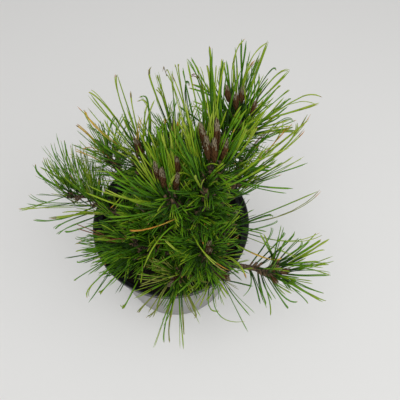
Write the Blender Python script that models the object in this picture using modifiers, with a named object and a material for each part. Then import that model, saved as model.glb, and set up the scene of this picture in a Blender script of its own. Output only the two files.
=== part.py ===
"""A mugo pine in its nursery pot, as solids: pot, potting soil, trunk, boughs and masses of needles.

Metres, +Z up. The origin is the middle of the pot's underside, which stands on the ground, and the
side where the plant is looked at faces -Y. Every limb is one quadratic curve from the trunk to an end
bud. Its first share is the bare bough, and the rest is the stem of a mass, which branches into side
shoots and needles by one seeded rule.
"""

from dataclasses import dataclass
from math import cos, pi, radians, sin

import bmesh
import bpy
import numpy as np

# Space that one solid keeps to the next
CLEAR = 0.0003

# Pot and soil
POT_HEIGHT = 0.135
POT_RIM_RADIUS = 0.0845
POT_BASE_RADIUS = 0.0700
POT_WALL = 0.0018
POT_FLOOR = 0.0026
POT_FACETS = 40
SCREW_MERGE = 0.00001
LIP_DEPTH = 0.0034
LIP_WIDTH = 0.0036
BAND_INSET = 0.0018
BEAD_INSET = 0.0010
BEAD_DEPTH = 0.0020
RIM_ROUNDING = 0.0008
FOOT_CHAMFER = 0.0015
FOOT_CHAMFER_HEIGHT = 0.0025
BAND_DEPTH = 0.0115
WALL_INSET = 0.0048
SOIL_HEIGHT = 0.115
SOIL_FALL = 0.0035
SOIL_FLAT_RADIUS = 0.066
SOIL_ROUNDING = 0.002

# Limbs
TRUNK_ROOT_RADIUS = 0.0082
TRUNK_TIP_RADIUS = 0.0034
TRUNK_FLARE = 0.0055
FLARE_SHARE = 0.07
BOUGH_ROOT_RADIUS = 0.0036
BOUGH_TIP_RADIUS = 0.0026
STEM_TIP_RADIUS = 0.0019
SIDE_SHOOT_RADIUS = 0.0022
SIDE_SHOOT_TIP_SHARE = 0.7
LIMB_SPACING = 0.003
LIMB_SAMPLES = 40
HEIGHT_STEPS = 200
TRUNK_SIDES = 10
TRUNK_RINGS = 14
BOUGH_SIDES = 6
BOUGH_RINGS = 5
STEM_SIDES = 4
STEM_RINGS = 4
SIDE_SHOOT_SIDES = 4
SIDE_SHOOT_RINGS = 3

# Needles and buds, wider than life because each stands for a pair
NEEDLE_WIDTH = 0.0034
NEEDLE_ROOT_WIDTH = 0.0019
NEEDLE_SAMPLES = 24
NEEDLE_ROOT_SHARE = 0.1
NEEDLE_SIDES = 3
NEEDLE_RINGS = 3
NEEDLE_SPREAD = 0.16
ANGLE_POWER = 1.5
NEEDLE_SHORTEST = 0.74
NEEDLE_LONGEST = 1.08
FAR_NEEDLE_FOOT = 0.8
FAR_NEEDLE_SAG = 0.12
TURN_SPREAD = 0.3
FIRST_NEEDLE = 0.05
LAST_NEEDLE = 0.95
BUD_WIDTH = 0.0052
BUD_SPREAD = radians(28)
BUD_FOOT_SHARE = 0.4
END_BUD_DROP = 0.002
RING_BUD_DROP = 0.005
BUD_SIDES = 4
BUD_RINGS = 4

# The branching rule
GOLDEN_ANGLE = radians(137.5)
SIDE_FORK = radians(42)
SIDE_FIRST = 0.12
SIDE_RANGE = 0.62
SIDE_LIFT = 0.15
SIDE_TAPER = 0.3
TRIES = 14
TURN_PER_TRY = 0.9
LEAN_PER_TRY = 0.94
LENGTH_PER_TRY = 0.94
SPACE_MARGIN = 0.0042
SPACE_SAMPLES = 12
NEEDLE_GAP = 0.0027
LIMB_CLEARANCE = 0.0026
SOIL_CLEARANCE = 0.004
WALL_CLEARANCE = 0.006

# Finishes: name, linear base colour and roughness
PLASTIC = ("pot_plastic", (0.035, 0.037, 0.040), 0.45)
COMPOST = ("potting_soil", (0.030, 0.020, 0.013), 0.95)
BARK = ("bark", (0.110, 0.070, 0.045), 0.85)
GREEN = ("needles", (0.080, 0.170, 0.030), 0.50)
SHARP_ANGLE = radians(40)

UP = np.array((0.0, 0.0, 1.0))


@dataclass(frozen=True)
class Mass:
    """A limb and the mass of shoots and needles that it carries, in metres and degrees."""

    name: str
    bud: tuple  # where the end bud sits
    leaves: float  # height at which the bough leaves the trunk
    bow: tuple  # how far the limb's middle stands off the straight line
    bare: float  # share of the limb that is bare bough
    needle: float  # length of a needle
    wide: float  # angle between needle and shoot at the shoot's foot
    tight: float  # the same angle at the bud
    needles: int
    side_shoots: int = 3
    side_length: float = 0.45  # a side shoot's length as a share of the stem's
    pull: tuple = (0.0, 0.0, 0.1)  # where the needles turn to, more strongly in their outer halves
    buds: int = 1
    bud_length: float = 0.020
    far_tips: tuple = ()  # where single long needles end


LEADER = "leader"
TRUNK_FOOT = (0.022, -0.042, SOIL_HEIGHT + CLEAR)

MASSES = (
    Mass(LEADER, bud=(0.042, -0.011, 0.262), leaves=TRUNK_FOOT[2], bow=(-0.004, -0.016, 0.0), bare=0.64,
         needle=0.076, wide=40, tight=14, needles=54, pull=(0.0, 0.28, 0.16), buds=6, bud_length=0.029,
         far_tips=((0.041, 0.047, 0.328), (0.050, 0.044, 0.318), (0.023, 0.045, 0.318))),
    Mass("back_right", bud=(0.069, 0.054, 0.246), leaves=0.183, bow=(0.007, 0.014, -0.008), bare=0.50,
         needle=0.066, wide=56, tight=18, needles=46, pull=(0.05, 0.25, 0.12), buds=4,
         far_tips=((0.071, 0.095, 0.294), (0.091, 0.092, 0.295), (0.110, 0.075, 0.278),
                   (0.137, 0.049, 0.263))),
    Mass("centre", bud=(0.005, -0.023, 0.240), leaves=0.197, bow=(-0.006, 0.0, -0.003), bare=0.26,
         needle=0.070, wide=40, tight=15, needles=110, side_length=0.32, pull=(0.03, 0.55, 0.25),
         buds=4, bud_length=0.024),
    Mass("middle", bud=(0.037, -0.062, 0.196), leaves=0.160, bow=(0.001, -0.006, 0.0), bare=0.36,
         needle=0.050, wide=85, tight=26, needles=36, buds=2),
    Mass("inner", bud=(-0.018, -0.014, 0.174), leaves=0.150, bow=(-0.002, -0.002, 0.001), bare=0.30,
         needle=0.045, wide=85, tight=26, needles=46),
    Mass("upper_left", bud=(-0.023, 0.026, 0.222), leaves=0.159, bow=(-0.010, 0.012, -0.008), bare=0.48,
         needle=0.074, wide=54, tight=18, needles=46, side_shoots=2, pull=(-0.05, 0.30, 0.15), buds=2,
         far_tips=((-0.041, 0.076, 0.273), (-0.066, 0.061, 0.265))),
    Mass("left_back", bud=(-0.070, 0.064, 0.172), leaves=0.1425, bow=(-0.018, 0.018, -0.006), bare=0.50,
         needle=0.050, wide=80, tight=22, needles=44, pull=(0.0, 0.10, 0.15),
         far_tips=((-0.089, 0.091, 0.204), (-0.098, 0.077, 0.194))),
    Mass("left", bud=(-0.107, 0.031, 0.158), leaves=0.1245, bow=(-0.015, 0.010, 0.0), bare=0.50,
         needle=0.058, wide=56, tight=20, needles=44, side_length=0.40, pull=(0.10, 0.35, 0.70),
         far_tips=((-0.154, -0.001, 0.164), (-0.134, 0.039, 0.183))),
    Mass("front_left", bud=(-0.051, -0.035, 0.158), leaves=0.1345, bow=(-0.006, -0.003, 0.001),
         bare=0.30, needle=0.051, wide=62, tight=25, needles=50, pull=(-0.55, -0.12, -0.05),
         far_tips=((-0.104, -0.049, 0.150), (-0.078, -0.091, 0.138))),
    Mass("front", bud=(0.008, -0.070, 0.150), leaves=0.126, bow=(-0.002, -0.004, 0.003), bare=0.36,
         needle=0.056, wide=64, tight=22, needles=32, side_shoots=2, pull=(0.0, 0.0, 0.0), buds=2,
         far_tips=((-0.014, -0.131, 0.122), (0.013, -0.132, 0.120))),
    Mass("front_right", bud=(0.052, -0.068, 0.152), leaves=0.1385, bow=(0.003, -0.004, 0.002),
         bare=0.36, needle=0.052, wide=64, tight=22, needles=44, side_shoots=2, pull=(0.0, 0.10, 0.10),
         bud_length=0.013,
         far_tips=((0.077, -0.119, 0.132),)),
    Mass("right_twig", bud=(0.110, -0.067, 0.152), leaves=0.1275, bow=(0.0, -0.002, 0.008), bare=0.60,
         needle=0.055, wide=54, tight=22, needles=40, side_shoots=2, buds=4,
         far_tips=((0.155, -0.041, 0.175), (0.156, -0.072, 0.158), (0.150, -0.092, 0.142))),
    Mass("right", bud=(0.058, -0.022, 0.170), leaves=0.151, bow=(0.003, -0.004, 0.001), bare=0.30,
         needle=0.040, wide=72, tight=25, needles=40,
         far_tips=((0.141, -0.008, 0.209),)),
    Mass("right_back", bud=(0.067, 0.017, 0.200), leaves=0.167, bow=(0.008, 0.004, -0.006), bare=0.42,
         needle=0.070, wide=45, tight=22, needles=90, side_length=0.40, pull=(0.15, 0.35, 0.40),
         far_tips=((0.130, 0.045, 0.250),)),
    Mass("back", bud=(0.008, 0.050, 0.215), leaves=0.176, bow=(-0.006, 0.014, -0.010), bare=0.50,
         needle=0.056, wide=54, tight=20, needles=44, pull=(0.0, 0.25, 0.15),
         far_tips=((-0.009, 0.090, 0.262), (0.006, 0.092, 0.262))),
)


def unit(vector):
    """The vector at length one."""
    return vector / np.linalg.norm(vector)


@dataclass(frozen=True)
class Arc:
    """A quadratic curve from start to end, drawn towards its middle point."""

    start: np.ndarray
    middle: np.ndarray
    end: np.ndarray

    def at(self, t):
        """The point a share t of the way along."""
        return (1 - t) ** 2 * self.start + 2 * t * (1 - t) * self.middle + t * t * self.end

    def points(self, count, first=0.0):
        """Evenly spaced points from the share first to the end."""
        return np.array([self.at(t) for t in np.linspace(first, 1.0, count)])

    def heading(self, t):
        """The direction of travel at t."""
        return unit((1 - t) * (self.middle - self.start) + t * (self.end - self.middle))

    def frame(self, t):
        """The direction of travel at t and two directions square to it and to each other."""
        heading = self.heading(t)
        across = np.eye(3)[np.argmin(abs(self.end - self.start))]
        first = unit(np.cross(heading, across))
        return heading, first, np.cross(heading, first)

    def leaning(self, t, turn, lean):
        """The direction that leans away from the curve at t, towards the side that turn names."""
        heading, first, second = self.frame(t)
        return unit(heading * cos(lean) + (first * cos(turn) + second * sin(turn)) * sin(lean))

    def before(self, t):
        """The stretch up to t."""
        return Arc(self.start, (1 - t) * self.start + t * self.middle, self.at(t))

    def after(self, t):
        """The stretch from t on."""
        return Arc(self.at(t), (1 - t) * self.middle + t * self.end, self.end)

    def length(self):
        """Its length along the straight line."""
        return float(np.linalg.norm(self.end - self.start))


def limb_arc(start, mass):
    """The whole limb of a mass, from its start to its end bud."""
    end = np.array(mass.bud)
    return Arc(start, (start + end) / 2 + np.array(mass.bow), end)


def trunk_radius(t):
    """The trunk's radius at t: an even taper with a flare at the foot."""
    taper = TRUNK_TIP_RADIUS + (TRUNK_ROOT_RADIUS - TRUNK_TIP_RADIUS) * (1 - t)
    return taper + TRUNK_FLARE * max(0.0, 1 - t / FLARE_SHARE) ** 2


def collar_radius(t):
    """The radius of the trunk's collar, a clear gap outside its bark."""
    return trunk_radius(t) + CLEAR


def tapering(root, tip):
    """A radius that falls evenly from root to tip."""
    return lambda t: root + (tip - root) * t


def needle_radius(t):
    """Half a needle's width: slim at the root and widest half way."""
    return (NEEDLE_ROOT_WIDTH + (NEEDLE_WIDTH - NEEDLE_ROOT_WIDTH) * 2 * t) / 2


def bud_radius(t):
    """Half a bud's width: a slim foot, a belly and a tapering shoulder."""
    return BUD_WIDTH / 2 * (BUD_FOOT_SHARE + (1 - BUD_FOOT_SHARE) * sin(pi * t))


def grown(name, arc, radius_at, sides, rings, pointed=False):
    """A closed limb, needle or bud: a straight cylinder of rings, bent along an arc."""
    bm = bmesh.new()
    bmesh.ops.create_cone(bm, cap_ends=True, segments=sides, radius1=1.0, radius2=1.0, depth=1.0)
    bmesh.ops.translate(bm, verts=bm.verts, vec=(0.0, 0.0, 0.5))
    uprights = [edge for edge in bm.edges if abs(edge.verts[0].co.z - edge.verts[1].co.z) > 0.5]
    bmesh.ops.subdivide_edges(bm, edges=uprights, cuts=rings - 2)
    top = [vertex for vertex in bm.verts if vertex.co.z > 0.999]
    last_ring = 1.0 - 1.0 / (rings - 1)
    for vertex in bm.verts:
        t = min(1.0, max(0.0, vertex.co.z))
        _, first, second = arc.frame(t)
        radius = radius_at(min(t, last_ring) if pointed else t)
        vertex.co = arc.at(t) + (first * vertex.co.x + second * vertex.co.y) * radius
    if pointed:
        bmesh.ops.pointmerge(bm, verts=top, merge_co=arc.end)
    bmesh.ops.recalc_face_normals(bm, faces=bm.faces)
    mesh = bpy.data.meshes.new(name)
    bm.to_mesh(mesh)
    bm.free()
    return bpy.data.objects.new(name, mesh)


class Crown:
    """The plant's limbs, the space that each mass keeps to, and the rule that fills it."""

    def __init__(self):
        leader = MASSES[0]
        self.leader_limb = limb_arc(np.array(TRUNK_FOOT), leader)
        self.trunk = self.leader_limb.before(leader.bare)
        self.limbs = {mass.name: self.limb_of(mass) for mass in MASSES}
        self.shoots = {mass.name: [self.stem_of(mass)] for mass in MASSES}
        self.spaces = {name: self.samples(shoots) for name, shoots in self.shoots.items()}
        self.bare_limbs = self.limb_samples()
        for mass in MASSES:
            self.shoots[mass.name] += self.side_shoots(mass)
        self.spaces = {name: self.samples(shoots) for name, shoots in self.shoots.items()}

    def limb_of(self, mass):
        """A mass's limb from the trunk's axis to its end bud."""
        if mass.name == LEADER:
            return self.leader_limb
        shares = np.linspace(0.0, 1.0, HEIGHT_STEPS)
        share = min(shares, key=lambda t: abs(self.trunk.at(t)[2] - mass.leaves))
        return limb_arc(self.trunk.at(share), mass)

    def stem_of(self, mass):
        """The stem of a mass, a clear gap past its bough's end."""
        limb = self.limbs[mass.name]
        return limb.after(mass.bare + CLEAR / limb.length())

    def samples(self, shoots):
        """Points close together along some shoots."""
        return np.concatenate([arc.points(2 + int(arc.length() / LIMB_SPACING)) for arc in shoots])

    def limb_samples(self):
        """Points along the trunk and every bare bough, with the radius there."""
        limbs = [(self.trunk, trunk_radius)]
        for mass in MASSES[1:]:
            bough = self.limbs[mass.name].before(mass.bare)
            limbs.append((bough, tapering(BOUGH_ROOT_RADIUS, BOUGH_TIP_RADIUS)))
        shares = np.linspace(0.0, 1.0, LIMB_SAMPLES)
        return np.array([(*arc.at(t), radius_at(t)) for arc, radius_at in limbs for t in shares])

    def is_free(self, name, arc, first=0.25):
        """Whether an arc, past its first share, stays in its mass's space and clear of all else."""
        points = arc.points(SPACE_SAMPLES, first)
        own = nearest(points, self.spaces[name])
        for other, space in self.spaces.items():
            if other != name and (nearest(points, space) - SPACE_MARGIN < own).any():
                return False
        gaps = np.linalg.norm(points[:, None] - self.bare_limbs[None, :, :3], axis=2)
        if (gaps - self.bare_limbs[None, :, 3]).min() < LIMB_CLEARANCE:
            return False
        out = np.hypot(points[:, 0], points[:, 1])
        height = points[:, 2]
        in_soil = (out < POT_RIM_RADIUS) & (height < SOIL_HEIGHT + SOIL_CLEARANCE)
        by_wall = abs(out - POT_RIM_RADIUS + LIP_WIDTH / 2) < WALL_CLEARANCE
        at_wall = by_wall & (height < POT_HEIGHT + WALL_CLEARANCE / 2)
        return not (in_soil.any() or at_wall.any() or (height < SOIL_CLEARANCE).any())

    def side_shoots(self, mass):
        """The side shoots of a mass, each a golden angle further round. One with no room is skipped."""
        stem = self.shoots[mass.name][0]
        found = []
        for index in range(mass.side_shoots):
            share = SIDE_FIRST + SIDE_RANGE * (index + 0.5) / mass.side_shoots
            foot = stem.at(share)
            length = stem.length() * mass.side_length * (1 - SIDE_TAPER * share)
            for attempt in range(TRIES):
                turn = (index + MASSES.index(mass)) * GOLDEN_ANGLE + attempt * TURN_PER_TRY
                along = unit(stem.leaning(share, turn, SIDE_FORK) + UP * SIDE_LIFT)
                end = foot + along * length + UP * length * SIDE_LIFT
                shoot = Arc(foot, foot + along * length / 2, end)
                if self.is_free(mass.name, shoot, 0.5):
                    found.append(shoot)
                    break
        return found

    def needle(self, mass, shoot, share, turn, chance, taken):
        """One needle's arc, clear of the taken points, or None where no room is left for it."""
        foot = shoot.at(share)
        angle = radians(mass.wide + (mass.tight - mass.wide) * share**ANGLE_POWER)
        angle *= 1 + chance.normal(0, NEEDLE_SPREAD)
        length = mass.needle * chance.uniform(NEEDLE_SHORTEST, NEEDLE_LONGEST)
        sway = chance.normal(0, NEEDLE_SPREAD, 3)
        pull = np.array(mass.pull)
        for attempt in range(TRIES):
            lean = angle * LEAN_PER_TRY**attempt
            out = unit(shoot.leaning(share, turn + attempt * TURN_PER_TRY, lean) + pull)
            bend = unit(out + pull + sway)
            reach = length * LENGTH_PER_TRY**attempt
            middle = foot + out * reach / 2
            arc = Arc(foot, middle, middle + bend * reach / 2)
            points = arc.points(NEEDLE_SAMPLES, NEEDLE_ROOT_SHARE)
            crossing = len(taken) and (nearest(points, np.concatenate(taken)) < NEEDLE_GAP).any()
            if not crossing and self.is_free(mass.name, arc):
                taken.append(points)
                return arc
        return None

    def far_needle(self, mass, tip):
        """A long needle from near the end bud to one far tip. The flatter it lies, the more it sags."""
        foot = self.shoots[mass.name][0].at(FAR_NEEDLE_FOOT)
        end = np.array(tip)
        sag = FAR_NEEDLE_SAG * (np.linalg.norm(end - foot) - abs(end[2] - foot[2]))
        return Arc(foot, (foot + end) / 2 - UP * sag, end)

    def needles(self, mass):
        """Every needle of a mass, dealt to its shoots by their length."""
        chance = np.random.default_rng(MASSES.index(mass) + 1)
        shoots = self.shoots[mass.name]
        total = sum(shoot.length() for shoot in shoots)
        found = [self.far_needle(mass, tip) for tip in mass.far_tips]
        taken = [arc.points(NEEDLE_SAMPLES, NEEDLE_ROOT_SHARE) for arc in found]
        for shoot in shoots:
            count = round(mass.needles * shoot.length() / total)
            for index in range(count):
                step = (index + chance.random()) / count
                share = FIRST_NEEDLE + (LAST_NEEDLE - FIRST_NEEDLE) * step
                turn = index * GOLDEN_ANGLE + chance.normal(0, TURN_SPREAD)
                found.append(self.needle(mass, shoot, share, turn, chance, taken))
        return [arc for arc in found if arc is not None]

    def buds(self, mass):
        """The buds at a mass's tip: one straight on and the rest in a ring a little lower round it."""
        stem = self.shoots[mass.name][0]
        found = []
        for index in range(mass.buds):
            foot = stem.end - stem.heading(1.0) * (RING_BUD_DROP if index else END_BUD_DROP)
            turn = index * 2 * pi / max(1, mass.buds - 1)
            along = stem.leaning(1.0, turn, BUD_SPREAD if index else 0.0)
            found.append(Arc(foot, foot + along * mass.bud_length / 2, foot + along * mass.bud_length))
        return found


def nearest(points, others):
    """The distance from each point to the nearest of the others."""
    return np.linalg.norm(points[:, None] - others[None], axis=2).min(axis=1)


def material(name, colour, roughness):
    """A plain Principled material."""
    made = bpy.data.materials.new(name)
    made.use_nodes = True
    shader = made.node_tree.nodes["Principled BSDF"]
    shader.inputs["Base Color"].default_value = (*colour, 1.0)
    shader.inputs["Roughness"].default_value = roughness
    made.diffuse_color = (*colour, 1.0)
    return made


def keep_largest(mesh):
    """Drops every loose scrap and sealed hollow, so that one closed body is left."""
    bm = bmesh.new()
    bm.from_mesh(mesh)
    unseen = set(bm.verts)
    islands = []
    while unseen:
        front = [unseen.pop()]
        island = set(front)
        while front:
            for edge in front.pop().link_edges:
                for vertex in edge.verts:
                    if vertex in unseen:
                        unseen.remove(vertex)
                        island.add(vertex)
                        front.append(vertex)
        islands.append(island)
    islands.sort(key=len)
    scraps = [vertex for island in islands[:-1] for vertex in island]
    bmesh.ops.delete(bm, geom=scraps, context="VERTS")
    bm.to_mesh(mesh)
    bm.free()


def modified_mesh(obj, modifier):
    """The mesh that an object's modifier makes. The modifier is removed."""
    graph = bpy.context.evaluated_depsgraph_get()
    mesh = bpy.data.meshes.new_from_object(obj.evaluated_get(graph))
    obj.modifiers.remove(modifier)
    return mesh


def boolean_mesh(obj, operation, other=None, collection=None):
    """The one body that a Boolean with an object or a collection leaves."""
    cut = obj.modifiers.new("boolean", "BOOLEAN")
    cut.operation = operation
    cut.solver = "EXACT"
    if collection:
        cut.operand_type = "COLLECTION"
        cut.collection = collection
    else:
        cut.object = other
    mesh = modified_mesh(obj, cut)
    keep_largest(mesh)
    return mesh


def finish_mesh(obj, mesh, finish, smooth=True):
    """Gives an object its finished mesh, with one material and, where it's round, smooth shading."""
    mesh.materials.clear()
    mesh.materials.append(finish)
    mesh.name = obj.name
    obj.data = mesh
    if smooth:
        mesh.shade_smooth()
        mesh.set_sharp_from_angle(angle=SHARP_ANGLE)


def turned(name, profile, collection, finish):
    """A profile of (radius, height) points, turned once about the pot's axis."""
    mesh = bpy.data.meshes.new(name)
    points = [(radius, 0.0, height) for radius, height in profile]
    mesh.from_pydata(points, [(index, index + 1) for index in range(len(points) - 1)], [])
    obj = bpy.data.objects.new(name, mesh)
    collection.objects.link(obj)
    screw = obj.modifiers.new("turn", "SCREW")
    screw.steps = screw.render_steps = POT_FACETS
    screw.use_merge_vertices = True
    screw.merge_threshold = SCREW_MERGE
    finish_mesh(obj, modified_mesh(obj, screw), finish)


def inner_radius(height):
    """The radius of the pot's tapering inside at a height below the rim band."""
    top_height = POT_HEIGHT - BAND_DEPTH
    top = POT_RIM_RADIUS - WALL_INSET - POT_WALL
    bottom = POT_BASE_RADIUS - POT_WALL
    return bottom + (top - bottom) * height / top_height


def pot_profile():
    """The pot's section: inside floor, wall, rim lip, band with a bead, outer wall and underside."""
    band_foot = POT_HEIGHT - BAND_DEPTH
    band = POT_RIM_RADIUS - BAND_INSET
    bead = POT_RIM_RADIUS - BEAD_INSET
    inside = band - POT_WALL
    return (
        (0.0, POT_FLOOR),
        (inner_radius(POT_FLOOR), POT_FLOOR),
        (inner_radius(band_foot), band_foot),
        (inside, band_foot + POT_WALL * 1.5),
        (inside, POT_HEIGHT - LIP_DEPTH / 2),
        (POT_RIM_RADIUS - LIP_WIDTH + RIM_ROUNDING, POT_HEIGHT),
        (POT_RIM_RADIUS - RIM_ROUNDING, POT_HEIGHT),
        (POT_RIM_RADIUS, POT_HEIGHT - RIM_ROUNDING),
        (POT_RIM_RADIUS, POT_HEIGHT - LIP_DEPTH),
        (band, POT_HEIGHT - LIP_DEPTH - RIM_ROUNDING),
        (band, band_foot + BEAD_DEPTH + RIM_ROUNDING),
        (bead, band_foot + BEAD_DEPTH),
        (bead, band_foot),
        (POT_RIM_RADIUS - WALL_INSET, band_foot - RIM_ROUNDING),
        (POT_BASE_RADIUS, FOOT_CHAMFER_HEIGHT),
        (POT_BASE_RADIUS - FOOT_CHAMFER, 0.0),
        (0.0, 0.0),
    )


def soil_profile():
    """The soil's section: a nearly flat top, then down inside the pot's wall to its floor."""
    edge = SOIL_HEIGHT - SOIL_FALL
    floor = POT_FLOOR + CLEAR
    return (
        (0.0, SOIL_HEIGHT),
        (SOIL_FLAT_RADIUS, SOIL_HEIGHT),
        (inner_radius(edge) - CLEAR * 3, edge),
        (inner_radius(edge) - CLEAR, edge - SOIL_ROUNDING),
        (inner_radius(floor) - CLEAR, floor),
        (0.0, floor),
    )


def as_cutter(obj):
    """Marks an object as a helper that is no part of the plant."""
    obj.hide_render = True
    obj.display_type = "WIRE"


def flat_foot(obj, foot):
    """Sets the lowest ring of a limb level, so that it stands on a flat cut."""
    lowest = sorted(obj.data.vertices, key=lambda vertex: vertex.co.z)[:TRUNK_SIDES]
    for vertex in lowest:
        vertex.co.z = foot


def build_trunk(crown, parts, helpers, finish):
    """The trunk from its flat cut on the soil to the leader's mass. Its fatter copy clears the boughs."""
    trunk = grown("trunk", crown.trunk, trunk_radius, TRUNK_SIDES, TRUNK_RINGS)
    collar = grown("trunk_collar", crown.trunk, collar_radius, TRUNK_SIDES, TRUNK_RINGS)
    for obj, collection in ((trunk, parts), (collar, helpers)):
        flat_foot(obj, crown.trunk.start[2])
        collection.objects.link(obj)
    finish_mesh(trunk, trunk.data, finish)
    as_cutter(collar)
    return collar


def build_bough(mass, crown, collar, parts, finish):
    """A bare bough from the trunk's bark to the mass that it carries."""
    arc = crown.limbs[mass.name].before(mass.bare)
    radius_at = tapering(BOUGH_ROOT_RADIUS, BOUGH_TIP_RADIUS)
    bough = grown("bough_" + mass.name, arc, radius_at, BOUGH_SIDES, BOUGH_RINGS)
    parts.objects.link(bough)
    finish_mesh(bough, boolean_mesh(bough, "DIFFERENCE", other=collar), finish)


def build_foliage(mass, crown, parts, finish):
    """A mass's stem, with its side shoots, needles and buds fused on."""
    stem_arc, *side_arcs = crown.shoots[mass.name]
    root = TRUNK_TIP_RADIUS if mass.name == LEADER else BOUGH_TIP_RADIUS
    stem_radius = tapering(root, STEM_TIP_RADIUS)
    stem = grown("foliage_" + mass.name, stem_arc, stem_radius, STEM_SIDES, STEM_RINGS)
    parts.objects.link(stem)
    pieces = bpy.data.collections.new("pieces")
    side_radius = tapering(SIDE_SHOOT_RADIUS, SIDE_SHOOT_RADIUS * SIDE_SHOOT_TIP_SHARE)
    grows = [(arc, side_radius, SIDE_SHOOT_SIDES, SIDE_SHOOT_RINGS, False) for arc in side_arcs]
    grows += [(arc, needle_radius, NEEDLE_SIDES, NEEDLE_RINGS, True) for arc in crown.needles(mass)]
    grows += [(arc, bud_radius, BUD_SIDES, BUD_RINGS, True) for arc in crown.buds(mass)]
    for arc, radius_at, sides, rings, pointed in grows:
        pieces.objects.link(grown("piece", arc, radius_at, sides, rings, pointed))
    bpy.context.scene.collection.children.link(pieces)
    mesh = boolean_mesh(stem, "UNION", collection=pieces)
    for piece in list(pieces.objects):
        bpy.data.meshes.remove(piece.data)
    bpy.data.collections.remove(pieces)
    finish_mesh(stem, mesh, finish, smooth=False)


def main():
    """Clears the scene and builds the potted plant."""
    for obj in list(bpy.data.objects):
        bpy.data.objects.remove(obj)
    parts = bpy.data.collections.new("potted_mugo_pine")
    helpers = bpy.data.collections.new("cutters")
    for collection in (parts, helpers):
        bpy.context.scene.collection.children.link(collection)
    turned("pot", pot_profile(), parts, material(*PLASTIC))
    turned("potting_soil", soil_profile(), parts, material(*COMPOST))
    bark = material(*BARK)
    green = material(*GREEN)
    crown = Crown()
    collar = build_trunk(crown, parts, helpers, bark)
    for mass in MASSES:
        if mass.name != LEADER:
            build_bough(mass, crown, collar, parts, bark)
        build_foliage(mass, crown, parts, green)


if __name__ == "__main__":
    main()
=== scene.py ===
"""Looks of a potted mugo pine, in metres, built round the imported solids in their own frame.

The pot, its soil, the bark, the shoots, the buds and the needles are all new meshes. Every limb is one
quadratic curve from the trunk to an end bud: its first share is bare bough, and the rest is a stem that
branches into side shoots and needles. That is the rule and these are the sizes of the solids, carried
here to finer shoots and to needles of their real width.
"""

from __future__ import annotations

import logging
from collections.abc import Callable, Iterable, Sequence
from dataclasses import dataclass, replace
from enum import Enum
from math import cos, pi, radians, sin, sqrt

import bmesh
import bpy
import numpy as np
from mathutils import Matrix, Vector, noise

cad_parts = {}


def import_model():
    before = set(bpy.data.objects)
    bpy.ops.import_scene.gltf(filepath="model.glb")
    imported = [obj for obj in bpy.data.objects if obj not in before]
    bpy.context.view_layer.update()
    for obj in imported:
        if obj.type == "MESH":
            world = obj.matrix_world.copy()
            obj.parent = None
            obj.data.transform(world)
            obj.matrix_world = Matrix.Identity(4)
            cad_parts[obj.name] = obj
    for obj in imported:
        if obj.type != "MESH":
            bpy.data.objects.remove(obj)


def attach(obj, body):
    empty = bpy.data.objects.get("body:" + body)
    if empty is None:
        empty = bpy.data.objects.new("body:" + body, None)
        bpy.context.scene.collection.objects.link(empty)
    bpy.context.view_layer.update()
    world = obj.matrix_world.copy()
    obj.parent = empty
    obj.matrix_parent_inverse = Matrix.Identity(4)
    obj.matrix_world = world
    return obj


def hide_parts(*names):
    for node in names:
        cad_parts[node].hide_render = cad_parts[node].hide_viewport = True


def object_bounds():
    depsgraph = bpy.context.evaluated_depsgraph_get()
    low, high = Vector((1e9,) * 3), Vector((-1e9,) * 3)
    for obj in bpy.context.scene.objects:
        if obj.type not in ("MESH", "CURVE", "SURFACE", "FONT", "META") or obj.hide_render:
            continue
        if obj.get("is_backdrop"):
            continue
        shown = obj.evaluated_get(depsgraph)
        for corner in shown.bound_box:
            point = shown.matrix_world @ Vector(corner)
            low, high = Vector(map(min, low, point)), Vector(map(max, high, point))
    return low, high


LOG = logging.getLogger("potted_mugo_pine")

BODY = "root"
PHOTO_SIDE = 400
MM_IN_M = 1000
UP = np.array((0.0, 0.0, 1.0))
CLEAR = 0.0003
GOLDEN_ANGLE = radians(137.5)

Finish = bpy.types.Material
Piece = bpy.types.Object
Place = tuple[float, float, float]
Pixel = tuple[float, float]
Section = tuple[tuple[float, float], ...]


# Colour and node helpers


def linear(code: str) -> tuple[float, float, float, float]:
    """Turns a colour's sRGB hex code into linear light.

    Args:
        code: Six hex digits, two each for red, green and blue.

    Returns:
        The linear red, green, blue and an alpha of one.
    """
    parts = (int(code[place : place + 2], 16) / 255 for place in (0, 2, 4))
    red, green, blue = (
        part / 12.92 if part <= 0.04045 else ((part + 0.055) / 1.055) ** 2.4 for part in parts
    )
    return red, green, blue, 1.0


def add_node(
    tree: bpy.types.NodeTree,
    kind: str,
    settings: dict[str, object] | None = None,
    inputs: dict[str, object] | None = None,
) -> bpy.types.Node:
    """Adds a shader node with its settings and links.

    Args:
        tree: The material's node tree.
        kind: The node's type name.
        settings: Attribute values to set on the node.
        inputs: For each input by name, a value to set or an output socket to link.

    Returns:
        The new node.
    """
    node = tree.nodes.new(kind)
    for name, value in (settings or {}).items():
        setattr(node, name, value)
    for name, value in (inputs or {}).items():
        if isinstance(value, bpy.types.NodeSocket):
            tree.links.new(value, node.inputs[name])
        else:
            node.inputs[name].default_value = value
    return node


def new_finish(
    name: str, levels: dict[str, object]
) -> tuple[Finish, bpy.types.NodeTree, bpy.types.Node]:
    """Makes a Principled material.

    Args:
        name: The material's name.
        levels: Values of the Principled node's inputs, by name.

    Returns:
        The material, its node tree and its Principled node.
    """
    made = bpy.data.materials.new(name)
    made.use_nodes = True
    skin = made.node_tree.nodes["Principled BSDF"]
    for level, value in levels.items():
        skin.inputs[level].default_value = value
    return made, made.node_tree, skin


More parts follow.
